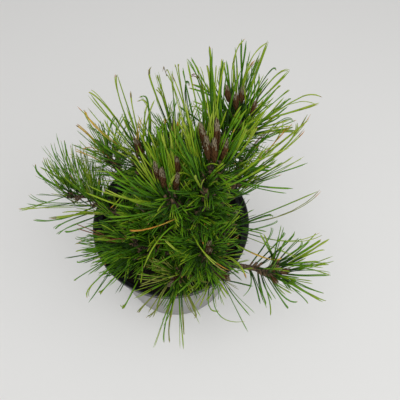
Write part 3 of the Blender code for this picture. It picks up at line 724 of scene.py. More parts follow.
TRACED = (  # runs of pairs on one mass, in the order in which they are grown
    ("back_right", (
        Traced(0.88, Tone.BRIGHT, middle=(232, 70), tip=(245.5, 38.5)),
        Traced(0.93, Tone.LIME, middle=(247, 68), tip=(268, 41)),
        Traced(0.90, Tone.BRIGHT, middle=(243, 84), tip=(257, 60), browned=0.15),
        Traced(0.80, Tone.DEEP, middle=(264, 79), tip=(277, 69.5)),
        Traced(0.80, Tone.BRIGHT, middle=(273, 79), tip=(289, 71)),
        Traced(0.75, Tone.FRESH, middle=(268, 98), tip=(282, 85)),
        Traced(0.75, Tone.FRESH, middle=(272, 104), tip=(291, 89)),
        Traced(0.70, Tone.GREEN, middle=(275, 110), tip=(291, 99)),
        Traced(0.65, Tone.LIME, middle=(281, 107), tip=(319.5, 103)),
    )),
    (LEADER, (
        Traced(0.95, Tone.FRESH, middle=(212, 90), tip=(212, 45)),
        Traced(0.93, Tone.GREEN, middle=(203, 96), tip=(188.5, 57)),
        Traced(0.93, Tone.LIME, middle=(206, 100), tip=(198, 64)),
        Traced(0.95, Tone.BRIGHT, middle=(211, 98), tip=(207, 62)),
        Traced(0.96, Tone.BRIGHT, middle=(215, 98), tip=(217, 64)),
        Traced(0.96, Tone.BRIGHT, middle=(219, 92), tip=(223, 58)),
        Traced(0.86, Tone.GREEN, middle=(190, 103), tip=(182, 67)),
        Traced(0.86, Tone.LIME, middle=(184, 106), tip=(171, 72), browned=0.20),
        Traced(0.93, Tone.RUSSET, middle=(203, 92), tip=(189.5, 76)),
    )),
    ("right_back", (
        Traced(0.83, Tone.LIME, middle=(284, 146), tip=(312, 114), browned=0.20),
        Traced(0.77, Tone.BRIGHT, middle=(284, 148), tip=(299, 121)),
        Traced(0.88, Tone.GREEN, middle=(272, 128), tip=(295, 120)),
        Traced(0.71, Tone.LIME, middle=(270, 149), tip=(283.5, 121)),
        Traced(0.71, Tone.ORANGE, middle=(274, 143), tip=(291, 124)),
        Traced(0.94, Tone.RUSSET, middle=(257, 141), tip=(274, 131)),
    )),
    ("right", (
        Traced(0.58, Tone.GREEN, middle=(262, 217), tip=(272, 216.5)),
        Traced(0.51, Tone.FINE, middle=(263, 227), tip=(279, 220)),
    )),
    ("left", (
        Traced(0.68, Tone.BRIGHT, middle=(60, 207), tip=(18, 209)),
    )),
    ("centre", (
        Traced(0.30, Tone.ORANGE, middle=(152, 228), tip=(128, 231), nearer=0.03),
    )),
    (LEADER, (
        Traced(0.66, Tone.FRESH, middle=(165, 232), tip=(143, 268), nearer=0.03),
    )),
    ("centre", (
        Traced(0.37, Tone.LIME, middle=(200, 248), tip=(230, 271), browned=0.20, nearer=0.03),
    )),
    ("middle", (
        Traced(0.68, Tone.LIME, middle=(232, 259), tip=(247, 279), browned=0.10, nearer=0.02),
        Traced(0.55, Tone.BRIGHT, middle=(182, 253), tip=(163, 240), nearer=0.03),
    )),
    ("front_left", (
        Traced(0.72, Tone.FRESH, middle=(98, 278), tip=(89, 297)),
        Traced(0.79, Tone.GREEN, middle=(87, 272), tip=(74, 281)),
        Traced(0.86, Tone.GREEN, middle=(88, 260), tip=(77, 261)),
        Traced(0.86, Tone.FRESH, middle=(88, 249), tip=(76, 251)),
        Traced(0.65, Tone.FRESH, middle=(106, 287), tip=(100, 292)),
        Traced(0.51, Tone.FRESH, middle=(129, 299), tip=(120, 306)),
    )),
    ("front", (
        Traced(0.49, Tone.OLIVE, middle=(150, 299), tip=(137, 313)),
        Traced(0.62, Tone.OLIVE, middle=(157, 308), tip=(148, 317)),
        Traced(0.68, Tone.GREEN, middle=(167, 316), tip=(164, 343)),
        Traced(0.74, Tone.OLIVE, middle=(170, 320), tip=(169, 344)),
        Traced(0.74, Tone.OLIVE, middle=(183, 318), tip=(184, 336)),
        Traced(0.94, Tone.OLIVE, middle=(193, 305), tip=(194, 317)),
    )),
    ("front_right", (
        Traced(0.68, Tone.FRESH, middle=(208, 303), tip=(219, 312)),
        Traced(0.74, Tone.FRESH, middle=(217, 312), tip=(245, 322), width=0.0010),
    )),
    ("right_twig", (
        Traced(0.64, Tone.FINE, middle=(268, 240), tip=(272, 227)),
        Traced(0.68, Tone.FINE, middle=(277, 243), tip=(285, 232)),
        Traced(0.72, Tone.GREEN, middle=(286, 243), tip=(295, 232)),
        Traced(0.80, Tone.GREEN, middle=(294, 252), tip=(301, 240)),
        Traced(0.84, Tone.FRESH, middle=(301, 247), tip=(317, 233)),
        Traced(0.88, Tone.FRESH, middle=(304, 251), tip=(322, 240)),
        Traced(0.92, Tone.BRIGHT, middle=(308, 255), tip=(325, 250)),
        Traced(0.98, Tone.FRESH, middle=(308, 266), tip=(330, 264)),
        Traced(0.98, Tone.FRESH, middle=(308, 270), tip=(331, 272)),
        Traced(0.92, Tone.GREEN, middle=(303, 286), tip=(325, 294)),
        Traced(0.92, Tone.FRESH, middle=(303, 291), tip=(327, 301)),
        Traced(0.88, Tone.GREEN, middle=(297, 292), tip=(308, 304)),
        Traced(0.80, Tone.FINE, middle=(280, 297), tip=(289, 309)),
        Traced(0.84, Tone.FINE, middle=(283, 296), tip=(298, 302)),
        Traced(0.76, Tone.FRESH, middle=(269, 299), tip=(271, 316)),
        Traced(0.64, Tone.FINE, middle=(251, 284), tip=(243, 297)),
    )),
    ("right", (
        Traced(0.93, Tone.LIME, middle=(285, 241), tip=(324, 235)),
        Traced(0.86, Tone.LIME, middle=(272, 247), tip=(297, 257)),
        Traced(0.65, Tone.YELLOW, middle=(262, 257), tip=(283, 258)),
    )),
    ("upper_left", (
        Traced(0.95, Tone.LIME, middle=(107, 107), tip=(88.5, 89), width=0.0014, browned=0.05),
        Traced(0.95, Tone.BRIGHT, middle=(120, 100), tip=(115, 72), width=0.0014, browned=0.10),
        Traced(0.90, Tone.LIME, middle=(135, 121), tip=(131, 89), width=0.0013, browned=0.12),
        Traced(0.90, Tone.GREEN, middle=(149, 107), tip=(139, 96), width=0.0014),
        Traced(0.85, Tone.LIME, middle=(150, 112), tip=(137, 99), width=0.0014),
    )),
    ("back", (
        Traced(0.95, Tone.BRIGHT, middle=(154, 92), tip=(152, 67), width=0.0014, browned=0.20),
        Traced(0.90, Tone.LIME, middle=(162, 92), tip=(159, 76), width=0.0013),
        Traced(0.85, Tone.BRIGHT, middle=(165, 104), tip=(157, 86), width=0.0014),
    )),
    (LEADER, (
        Traced(0.70, Tone.LIME, middle=(176, 96), tip=(166, 71), width=0.0014, browned=0.15),
        Traced(0.72, Tone.BRIGHT, middle=(182, 92), tip=(176, 66), width=0.0013),
        Traced(0.75, Tone.DEEP, middle=(187, 100), tip=(186, 85), width=0.0011),
    )),
    ("upper_left", (
        Traced(0.80, Tone.YELLOW, middle=(97, 127), tip=(84, 111), width=0.0014, browned=0.04),
    )),
    ("left_back", (
        Traced(0.80, Tone.YELLOW, middle=(92, 138), tip=(76, 124), width=0.0014, browned=0.10),
        Traced(0.75, Tone.YELLOW, middle=(92, 157), tip=(75, 149), width=0.0013),
        Traced(0.70, Tone.ORANGE, middle=(100, 150), tip=(81, 150), width=0.0011),
    )),
    ("centre", (
        Traced(0.60, Tone.BRIGHT, middle=(134, 200), tip=(102, 190), width=0.0013, nearer=0.02),
    )),
    (LEADER, (
        Traced(0.78, Tone.BRIGHT, middle=(184, 172), tip=(169, 187), width=0.0013, nearer=0.02),
        Traced(0.80, Tone.FRESH, middle=(205, 167), tip=(220, 165), width=0.0012, nearer=0.02),
    )),
    ("right", (
        Traced(0.95, Tone.OLIVE, middle=(283, 215), tip=(321, 190), width=0.0014, browned=0.10),
    )),
    ("left", (
        Traced(0.50, Tone.BRIGHT, middle=(92, 212), tip=(62, 213), width=0.0013),
        Traced(0.45, Tone.FRESH, middle=(104, 213), tip=(75, 211), width=0.0011),
        Traced(0.40, Tone.BRIGHT, middle=(112, 215), tip=(84, 212), width=0.0013),
        Traced(0.35, Tone.LIME, middle=(120, 217), tip=(92, 213), width=0.0012),
        Traced(0.60, Tone.LIME, middle=(84, 214), tip=(48, 217), width=0.0014, browned=0.10),
        Traced(0.75, Tone.FINE, middle=(52, 203), tip=(28, 194)),
        Traced(0.70, Tone.FINE, middle=(60, 219), tip=(32, 221)),
        Traced(0.65, Tone.FINE, middle=(66, 222), tip=(53, 229)),
        Traced(0.60, Tone.FINE, middle=(70, 227), tip=(56, 234)),
        Traced(0.55, Tone.FINE, middle=(80, 229), tip=(64, 231)),
        Traced(0.50, Tone.FINE, middle=(90, 236), tip=(75, 237)),
        Traced(0.80, Tone.FINE, middle=(50, 183), tip=(37, 164)),
        Traced(0.85, Tone.FRESH, middle=(57, 178), tip=(44, 157)),
        Traced(0.90, Tone.FINE, middle=(63, 170), tip=(53, 142)),
        Traced(0.95, Tone.FINE, middle=(68, 165), tip=(61, 139)),
        Traced(0.90, Tone.YELLOW, middle=(69, 175), tip=(66, 181), width=0.0016),
    )),
    ("left_back", (
        Traced(0.90, Tone.FINE, middle=(115, 135), tip=(125, 112)),
        Traced(0.95, Tone.FINE, middle=(108, 135), tip=(116, 115)),
        Traced(0.95, Tone.DEEP, middle=(104, 135), tip=(100, 120)),
        Traced(0.60, Tone.FINE, middle=(116, 165), tip=(100, 168)),
        Traced(0.50, Tone.DEEP, middle=(118, 188), tip=(98, 184)),
        Traced(0.45, Tone.FINE, middle=(125, 196), tip=(96, 196)),
        Traced(0.55, Tone.FINE, middle=(112, 176), tip=(92, 174)),
    )),
    ("back", (
        Traced(0.80, Tone.DEEP, middle=(150, 140), tip=(137, 122), width=0.0010),
        Traced(0.70, Tone.FINE, middle=(152, 150), tip=(140, 135), width=0.0010),
    )),
    ("right_back", (
        Traced(0.85, Tone.FRESH, middle=(262, 140), tip=(300, 130), width=0.0013),
        Traced(0.80, Tone.BRIGHT, middle=(272, 160), tip=(305, 128), width=0.0013, browned=0.10),
    )),
    (LEADER, (
        Traced(0.85, Tone.FRESH, middle=(240, 133), tip=(262, 114), width=0.0014),
        Traced(0.85, Tone.BRIGHT, middle=(235, 145), tip=(256, 127), width=0.0014),
        Traced(0.86, Tone.GREEN, middle=(214, 178), tip=(233, 174), width=0.0011, nearer=0.01),
        Traced(0.84, Tone.FRESH, middle=(212, 184), tip=(236, 184), width=0.0011, nearer=0.01),
        Traced(0.82, Tone.GREEN, middle=(211, 190), tip=(233, 195), width=0.0011, nearer=0.01),
        Traced(0.88, Tone.GREEN, middle=(201, 182), tip=(186, 178), width=0.0011, nearer=0.01),
        Traced(0.84, Tone.DEEP, middle=(199, 190), tip=(182, 196), width=0.0011, nearer=0.01),
        Traced(0.80, Tone.FRESH, middle=(200, 196), tip=(187, 208), width=0.0011, nearer=0.01),
        Traced(0.90, Tone.DEEP, middle=(216, 172), tip=(236, 163), width=0.0011, nearer=0.01),
    )),
    ("front_left", (
        Traced(0.35, Tone.GREEN, middle=(146, 238), tip=(122, 232), width=0.0011, nearer=0.01),
        Traced(0.38, Tone.DEEP, middle=(148, 246), tip=(124, 244), width=0.0011, nearer=0.01),
        Traced(0.40, Tone.FRESH, middle=(144, 256), tip=(118, 258), width=0.0011, nearer=0.01),
        Traced(0.45, Tone.GREEN, middle=(136, 234), tip=(112, 230), width=0.0011, nearer=0.01),
        Traced(0.35, Tone.GREEN, middle=(150, 258), tip=(128, 266), width=0.0011, nearer=0.01),
        Traced(0.60, Tone.DEEP, middle=(126, 238), tip=(104, 236), width=0.0011, nearer=0.01),
        Traced(0.50, Tone.DEEP, middle=(138, 244), tip=(112, 248), width=0.0011, nearer=0.01),
        Traced(0.42, Tone.GREEN, middle=(142, 250), tip=(116, 252), width=0.0011, nearer=0.01),
        Traced(0.40, Tone.GREEN, middle=(143, 240), tip=(124, 238), width=0.0011, nearer=0.03),
        Traced(0.45, Tone.FRESH, middle=(140, 236), tip=(121, 242), width=0.0011, nearer=0.03),
    )),
    ("inner", (
        Traced(0.70, Tone.GREEN, middle=(146, 228), tip=(124, 236), width=0.0011, nearer=0.02),
        Traced(0.80, Tone.DEEP, middle=(142, 222), tip=(120, 228), width=0.0011, nearer=0.01),
    )),
)


HIDDEN_TIPS = (  # where the longest needles end on the side away from the camera
    ("back_right", (0.067, 0.113, 0.255)),
    ("back_right", (0.080, 0.106, 0.248)),
    ("back_right", (0.055, 0.104, 0.262)),
    ("left_back", (-0.075, 0.111, 0.171)),
    ("left_back", (-0.060, 0.103, 0.180)),
    ("left_back", (-0.088, 0.104, 0.175)),
)


@dataclass(frozen=True)
class TracedBud:
    """A bud that the photo shows by itself, by the pixels of its tip and its foot."""

    mass: str
    tip: Pixel
    foot: Pixel


TRACED_BUDS = (
    TracedBud(LEADER, tip=(200, 123), foot=(207, 152)),
    TracedBud(LEADER, tip=(217, 119), foot=(216, 152)),
    TracedBud(LEADER, tip=(206, 137), foot=(209, 160)),
    TracedBud(LEADER, tip=(214, 139), foot=(215, 163)),
    TracedBud(LEADER, tip=(226, 139), foot=(223, 160)),
    TracedBud("back_right", tip=(226, 86), foot=(229, 102)),
    TracedBud("back_right", tip=(236, 95), foot=(236, 110)),
    TracedBud("back_right", tip=(243, 87), foot=(241, 103)),
    TracedBud("back_right", tip=(255, 102), foot=(251, 115)),
    TracedBud("centre", tip=(155, 162), foot=(159, 180)),
    TracedBud("centre", tip=(161, 168), foot=(165, 188)),
    TracedBud("centre", tip=(177, 157), foot=(177, 178)),
    TracedBud("centre", tip=(178, 174), foot=(174, 190)),
    TracedBud("right_twig", tip=(290, 270), foot=(279, 273)),
    TracedBud("right_twig", tip=(276, 267), foot=(270, 272)),
    TracedBud("right_twig", tip=(276, 282), foot=(271, 275)),
)


@dataclass
class Crown:
    """The plant's limbs, shoots, twigs and buds' axes, and the room that each mass has.

    Args:
        low: The lowest corner of the room that needles may use.
        high: Its highest corner.
        view: The camera of the photo.
    """

    low: np.ndarray
    high: np.ndarray
    view: PhotoView
    # room: how far a mass may grow into the next one, and how clear needles stay of wood, soil and rim
    overlap: float = 0.016
    limb_spacing: float = 0.003
    limb_clearance: float = 0.0008
    soil_clearance: float = 0.0025
    wall_clearance: float = 0.0030
    rim_radius: float = 0.0845
    pot_height: float = 0.135
    tested_points: int = 10
    tries: int = 9
    turn_per_try: float = 0.9
    limb_steps: int = 200
    limb_samples_each: int = 40
    # buds
    bud_spread: float = radians(24)
    bud_sunk: float = 0.004
    bud_shortening: float = 0.12
    ring_sizes: int = 3
    bud_clusters: int = 3  # how many masses, from the first, have buds that needles part round
    parting_near: float = 0.006
    parting_far: float = 0.075
    parting_radius: float = 0.0026
    parting_shares: tuple[float, ...] = (0.2, 0.45, 0.7, 0.95)
    # side shoots and twigs
    side_first: float = 0.12
    side_span: float = 0.62
    side_shortening: float = 0.3
    side_lean: float = radians(42)
    side_rise: float = 0.15
    side_touching: float = 0.5
    twigs_each: int = 2
    twig_first: float = 0.35
    twig_step: float = 0.3
    twig_lean: float = radians(48)
    twig_rise: float = 0.2
    twig_length: float = 0.011
    twig_touching: float = 0.6

    def __post_init__(self) -> None:
        """Grows the limbs, the side shoots and the finer twigs."""
        leader = MASSES[0]
        self.leader_limb = limb_arc(np.array(TRUNK_FOOT), leader)
        self.trunk = self.leader_limb.before(leader.bare)
        self.limbs = {mass.name: self.limb_of(mass) for mass in MASSES}
        self.bare_limbs = self.limb_samples()
        self.shoots = {mass.name: [self.stem_of(mass)] for mass in MASSES}
        self.mark_room()
        for mass in MASSES:
            self.shoots[mass.name] += self.side_shoots(mass)
        self.mark_room()
        self.twigs = {mass.name: self.fine_twigs(mass) for mass in MASSES}
        self.bare_limbs = np.concatenate((self.bare_limbs, self.partings()))

    def limb_of(self, mass: Mass) -> Arc:
        """Finds where on the trunk a mass's limb starts.

        Args:
            mass: The mass that it carries.

        Returns:
            The limb, from the trunk's axis to its end bud.
        """
        if mass.name == LEADER:
            return self.leader_limb
        shares = np.linspace(0.0, 1.0, self.limb_steps)
        share = min(shares, key=lambda t: abs(self.trunk.at(t)[2] - mass.leaves))
        return limb_arc(self.trunk.at(share), mass)

    def stem_of(self, mass: Mass) -> Arc:
        """Returns the stem of a mass, from its bough's end to its end bud."""
        limb = self.limbs[mass.name]
        return limb.after(mass.bare + CLEAR / limb.length())

    def limb_samples(self) -> np.ndarray:
        """Samples the wood that needles have to miss.

        Returns:
            Points along the trunk and every bare bough, with the radius there.
        """
        limbs = [(self.trunk, LIMBS.trunk_radius)]
        for mass in MASSES[1:]:
            bough = self.limbs[mass.name].before(mass.bare)
            limbs.append((bough, tapering(LIMBS.bough_root, LIMBS.bough_tip)))
        shares = np.linspace(0.0, 1.0, self.limb_samples_each)
        return np.array([(*arc.at(t), radius_at(t)) for arc, radius_at in limbs for t in shares])

    def partings(self) -> np.ndarray:
        """Samples the sight lines to the bud clusters, which needles part round.

        Returns:
            Points between the buds and the camera, with the radius that is kept free there.
        """
        steps = np.arange(self.parting_near, self.parting_far, self.limb_spacing)
        eye = np.array(self.view.position)
        rows = []
        for mass in MASSES[: self.bud_clusters]:
            for spindle in self.spindles(mass):
                for share in self.parting_shares:
                    bud = spindle.at(share)
                    way = unit(eye - bud)
                    rows += [(*(bud + way * step), self.parting_radius) for step in steps]
        return np.array(rows)

    def spindles(self, mass: Mass) -> list[Arc]:
        """Places the buds at a mass's tip: those of the photo, or one straight on and a ring round it.

        Args:
            mass: The mass.

        Returns:
            Each bud's axis from its foot to its tip.
        """
        stem = self.shoots[mass.name][0]
        heading = stem.heading(1.0)
        found = []
        for bud in TRACED_BUDS:
            if bud.mass == mass.name:
                foot = self.view.near(bud.foot, stem.end)
                tip = self.view.near(bud.tip, foot + heading * mass.bud_length)
                found.append(Arc(foot, (foot + tip) / 2, tip))
        foot = stem.end - heading * self.bud_sunk
        for index in range(0 if found else mass.buds):
            turn = index * 2 * pi / max(1, mass.buds - 1)
            along = stem.leaning(1.0, turn, self.bud_spread if index else 0.0)
            length = mass.bud_length * (1.0 - self.bud_shortening * (index % self.ring_sizes))
            found.append(Arc(foot, foot + along * length / 2, foot + along * length))
        return found

    def mark_room(self) -> None:
        """Samples every shoot, so that a needle's nearest mass can be found."""
        rows = []
        owners = []
        for index, mass in enumerate(MASSES):
            for arc in self.shoots[mass.name]:
                points = arc.points(2 + int(arc.length() / self.limb_spacing))
                rows.append(points)
                owners += [index] * len(points)
        self.room = np.concatenate(rows)
        self.owners = np.array(owners)

    def is_free(self, owner: int | None, arc: Arc, first: float) -> bool:
        """Tells whether an arc has room.

        Args:
            owner: The index of the mass whose room it keeps to, or None where it may use all.
            arc: The curve of a shoot or needle.
            first: The share of it that may touch what carries it.

        Returns:
            True where it stays by its own mass and clear of limbs, soil, pot and floor.
        """
        points = arc.points(self.tested_points, first)
        if (points < self.low).any() or (points > self.high).any():
            return False
        if owner is not None:
            gaps = np.linalg.norm(points[:, None] - self.room[None], axis=2)
            own = gaps[:, self.owners == owner].min(axis=1)
            if (gaps.min(axis=1) + self.overlap < own).any():
                return False
        gaps = np.linalg.norm(points[:, None] - self.bare_limbs[None, :, :3], axis=2)
        if (gaps - self.bare_limbs[None, :, 3]).min() < self.limb_clearance:
            return False
        out = np.hypot(points[:, 0], points[:, 1])
        height = points[:, 2]
        in_soil = (out < self.rim_radius) & (height < SOIL_HEIGHT + self.soil_clearance)
        at_wall = (abs(out - self.rim_radius) < self.wall_clearance) & (
            height < self.pot_height + self.wall_clearance / 2
        )
        return not (in_soil.any() or at_wall.any())

    def side_shoots(self, mass: Mass) -> list[Arc]:
        """Grows the side shoots of a mass by the rule of the solids.

        Args:
            mass: The mass to branch.

        Returns:
            The side shoots that found room.
        """
        owner = MASSES.index(mass)
        stem = self.shoots[mass.name][0]
        found = []
        for index in range(mass.side_shoots):
            share = self.side_first + self.side_span * (index + 0.5) / mass.side_shoots
            length = stem.length() * mass.side_length * (1 - self.side_shortening * share)
            for attempt in range(self.tries):
                turn = (index + owner) * GOLDEN_ANGLE + attempt * self.turn_per_try
                along = unit(stem.leaning(share, turn, self.side_lean) + UP * self.side_rise)
                foot = stem.at(share)
                end = foot + along * length + UP * length * self.side_rise
                shoot = Arc(foot, foot + along * length / 2, end)
                if self.is_free(owner, shoot, self.side_touching):
                    found.append(shoot)
                    break
        return found

    def fine_twigs(self, mass: Mass) -> list[Arc]:
        """Grows short twigs on the side shoots, finer than the solids have.

        Args:
            mass: The mass to branch.

        Returns:
            The twigs that found room.
        """
        owner = MASSES.index(mass)
        found = []
        for number, shoot in enumerate(self.shoots[mass.name]):
            for index in range(self.twigs_each):
                share = self.twig_first + self.twig_step * index
                turn = (3 * number + index + owner) * GOLDEN_ANGLE
                along = unit(shoot.leaning(share, turn, self.twig_lean) + UP * self.twig_rise)
                foot = shoot.at(share)
                way = along * self.twig_length
                twig = Arc(foot, foot + way / 2, foot + way)
                if self.is_free(owner, twig, self.twig_touching):
                    found.append(twig)
        return found


# Mesh helpers


FOOT_WIDTH = 0.70  # a needle's width where it starts, as a share of its widest
FOOT_GAIN = 0.30
FOOT_ENDS = 0.15
POINT_WIDTH = 0.10  # its width where it ends
POINT_GAIN = 0.90
POINT_LENGTH = 0.07
POINT_CURVE = 0.7
SCALE_TIP = 0.08  # a bud scale's width where it ends, as a share of its widest
SCALE_GAIN = 0.92
SCALE_STARTS = 0.30  # the stretch of a half wave that its outline follows
SCALE_SPAN = 0.68
RIPPLE_WAVE = 1.6  # half waves in the sideways ripple of a needle
MERGING = 0.00001


def flat_section(sides: int, flatness: float) -> np.ndarray:
    """Returns the points of a flattened round section, as (across, through) shares of half its width."""
    turns = np.arange(sides) * 2 * pi / sides
    return np.stack((np.cos(turns), np.sin(turns) * flatness), axis=1)


def needle_outline(t: np.ndarray) -> np.ndarray:
    """Draws a needle's outline: a narrow foot and a short sharp tip.

    Args:
        t: Shares along the needle.

    Returns:
        Its width at each of them, as a share of its widest.
    """
    foot = FOOT_WIDTH + FOOT_GAIN * np.clip(t / FOOT_ENDS, 0, 1)
    tip = np.clip((1.0 - t) / POINT_LENGTH, 0, 1) ** POINT_CURVE
    return foot * (POINT_WIDTH + POINT_GAIN * tip)


def scale_outline(t: np.ndarray) -> np.ndarray:
    """Returns a bud scale's width at t as a share of its widest: a broad foot drawn to a point."""
    return SCALE_TIP + SCALE_GAIN * np.sin(pi * np.clip(SCALE_STARTS + SCALE_SPAN * t, 0, 1))


def blades_mesh(
    name: str,
    blades: Sequence[Blade],
    spans: np.ndarray,
    outline: Callable[[np.ndarray], np.ndarray],
    rings: int,
    flatness: float = 0.55,
    sides: int = 4,
) -> bpy.types.Mesh:
    """Joins many blades in one mesh, worked out as arrays because there are thousands of them.

    Args:
        name: The mesh's name.
        blades: The needles or scales.
        spans: For each blade, the first and last share of its curve that is made.
        outline: Its width at each share, as a share of its widest.
        rings: The sections along it.
        flatness: Its thickness as a share of its width.
        sides: The points round its section.

    Returns:
        The mesh, shaded smooth, each blade a closed body.
    """
    start, middle, end = (
        np.array([getattr(blade.arc, part) for blade in blades])[:, None]
        for part in ("start", "middle", "end")
    )
    widths = np.array([blade.width for blade in blades])[:, None]
    ripples = np.array([blade.ripple for blade in blades])[:, None, None]
    steps = np.linspace(0.0, 1.0, rings)[None]
    share = spans[:, :1] + (spans[:, 1:] - spans[:, :1]) * steps
    t = share[..., None]
    headings = (1 - t) * (middle - start) + t * (end - middle)
    headings /= np.linalg.norm(headings, axis=2, keepdims=True)
    side = np.cross(end - start, np.array([blade.side for blade in blades])[:, None])
    first = side - headings * (side * headings).sum(axis=2, keepdims=True)
    first /= np.linalg.norm(first, axis=2, keepdims=True)
    second = np.cross(headings, first)
    points = (1 - t) ** 2 * start + 2 * t * (1 - t) * middle + t * t * end
    points = points + first * ripples * np.sin(RIPPLE_WAVE * pi * t) * t
    radii = (widths / 2 * outline(share))[..., None, None]
    section = flat_section(sides, flatness)
    ring = first[:, :, None] * section[:, 0, None] + second[:, :, None] * section[:, 1, None]
    vertices = (points[:, :, None] + ring * radii).reshape(-1, 3)
    here = np.arange(sides)
    onward = (here + 1) % sides
    quads = [
        np.stack((here, onward, onward + sides, here + sides), axis=1) + sides * step
        for step in range(rings - 1)
    ]
    wall = np.concatenate(quads)
    caps = np.stack((here[::-1], here + sides * (rings - 1)))
    each = sides * rings
    faces = []
    for pattern in (wall, caps):
        offsets = np.arange(len(blades))[:, None, None] * each
        faces += (pattern[None] + offsets).reshape(-1, pattern.shape[1]).tolist()
    mesh = bpy.data.meshes.new(name)
    mesh.from_pydata(vertices, [], faces)
    mesh.shade_smooth()
    return mesh


def piece_of(
    name: str, mesh: bpy.types.Mesh, finishes: Iterable[Finish], nodes: Iterable[str]
) -> Piece:
    """Makes a finished piece that rides on the plant and stands for its solids.

    Args:
        name: The piece's name.
        mesh: Its mesh, in place.
        finishes: The materials of its slots.
        nodes: The solids that it replaces.

    Returns:
        The piece.
    """
    obj = bpy.data.objects.new(name, mesh)
    bpy.context.scene.collection.objects.link(obj)
    for finish in finishes:
        mesh.materials.append(finish)
    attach(obj, BODY)
    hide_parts(*nodes)
    triangles = sum(len(polygon.vertices) - 2 for polygon in mesh.polygons)
    LOG.info("%s: %d triangles", name, triangles)
    return obj


def add_tube(
    bm: bmesh.types.BMesh,
    arc: Arc,
    radius_at: Callable[[float], float],
    sides: int,
    rings: int,
    relief: Callable[[np.ndarray, float, float], float] = lambda point, t, angle: 0.0,
) -> None:
    """Adds a bent, tapering, closed tube with relief to a bmesh.

    Args:
        bm: The bmesh that takes it.
        arc: The curve that it follows.
        radius_at: Its radius at a share of the curve.
        sides: The faces round it.
        rings: The sections along it.
        relief: The share that its radius grows by, from the point, the share along and the angle.
    """
    known = len(bm.verts)
    made = bmesh.ops.create_cone(
        bm, cap_ends=True, segments=sides, radius1=1.0, radius2=1.0, depth=1.0
    )["verts"]
    bmesh.ops.translate(bm, verts=made, vec=(0.0, 0.0, 0.5))
    uprights = {
        edge
        for vertex in made
        for edge in vertex.link_edges
        if abs(edge.verts[0].co.z - edge.verts[1].co.z) > 0.5
    }
    bmesh.ops.subdivide_edges(bm, edges=list(uprights), cuts=rings - 2)
    bm.verts.ensure_lookup_table()
    frames: dict[int, tuple] = {}
    for vertex in bm.verts[known:]:
        t = min(1.0, max(0.0, vertex.co.z))
        key = round(t * (rings - 1))
        if key not in frames:
            frames[key] = (arc.at(t), *arc.frame(t)[1:], radius_at(t))
        centre, first, second, radius = frames[key]
        way = first * vertex.co.x + second * vertex.co.y
        angle = np.arctan2(vertex.co.y, vertex.co.x)
        vertex.co = centre + way * radius * (1 + relief(centre + way * radius, t, angle))


def spun(section: Sequence[tuple[float, float]], steps: int) -> bmesh.types.BMesh:
    """Spins a section round the upright axis.

    Args:
        section: Its corners, each as a radius and a height.
        steps: The faces round the axis.

    Returns:
        A bmesh of the closed shape.
    """
    bm = bmesh.new()
    points = [bm.verts.new((radius, 0.0, height)) for radius, height in section]
    edges = [bm.edges.new(ends) for ends in zip(points, points[1:])]
    bmesh.ops.spin(
        bm,
        geom=[*points, *edges],
        cent=(0.0, 0.0, 0.0),
        axis=(0.0, 0.0, 1.0),
        angle=2 * pi,
        steps=steps,
        use_merge=True,
    )
    bmesh.ops.remove_doubles(bm, verts=bm.verts, dist=MERGING)
    return bm


def mesh_from(bm: bmesh.types.BMesh, name: str, sharp: float) -> bpy.types.Mesh:
    """Turns a bmesh into a smooth-shaded mesh with outward faces, and frees it.

    Args:
        bm: The bmesh.
        name: The mesh's name.
        sharp: The angle past which an edge stays sharp.

    Returns:
        The mesh.
    """
    bmesh.ops.recalc_face_normals(bm, faces=bm.faces)
    mesh = bpy.data.meshes.new(name)
    bm.to_mesh(mesh)
    bm.free()
    mesh.shade_smooth()
    mesh.set_sharp_from_angle(angle=sharp)
    return mesh


# The pot and its soil


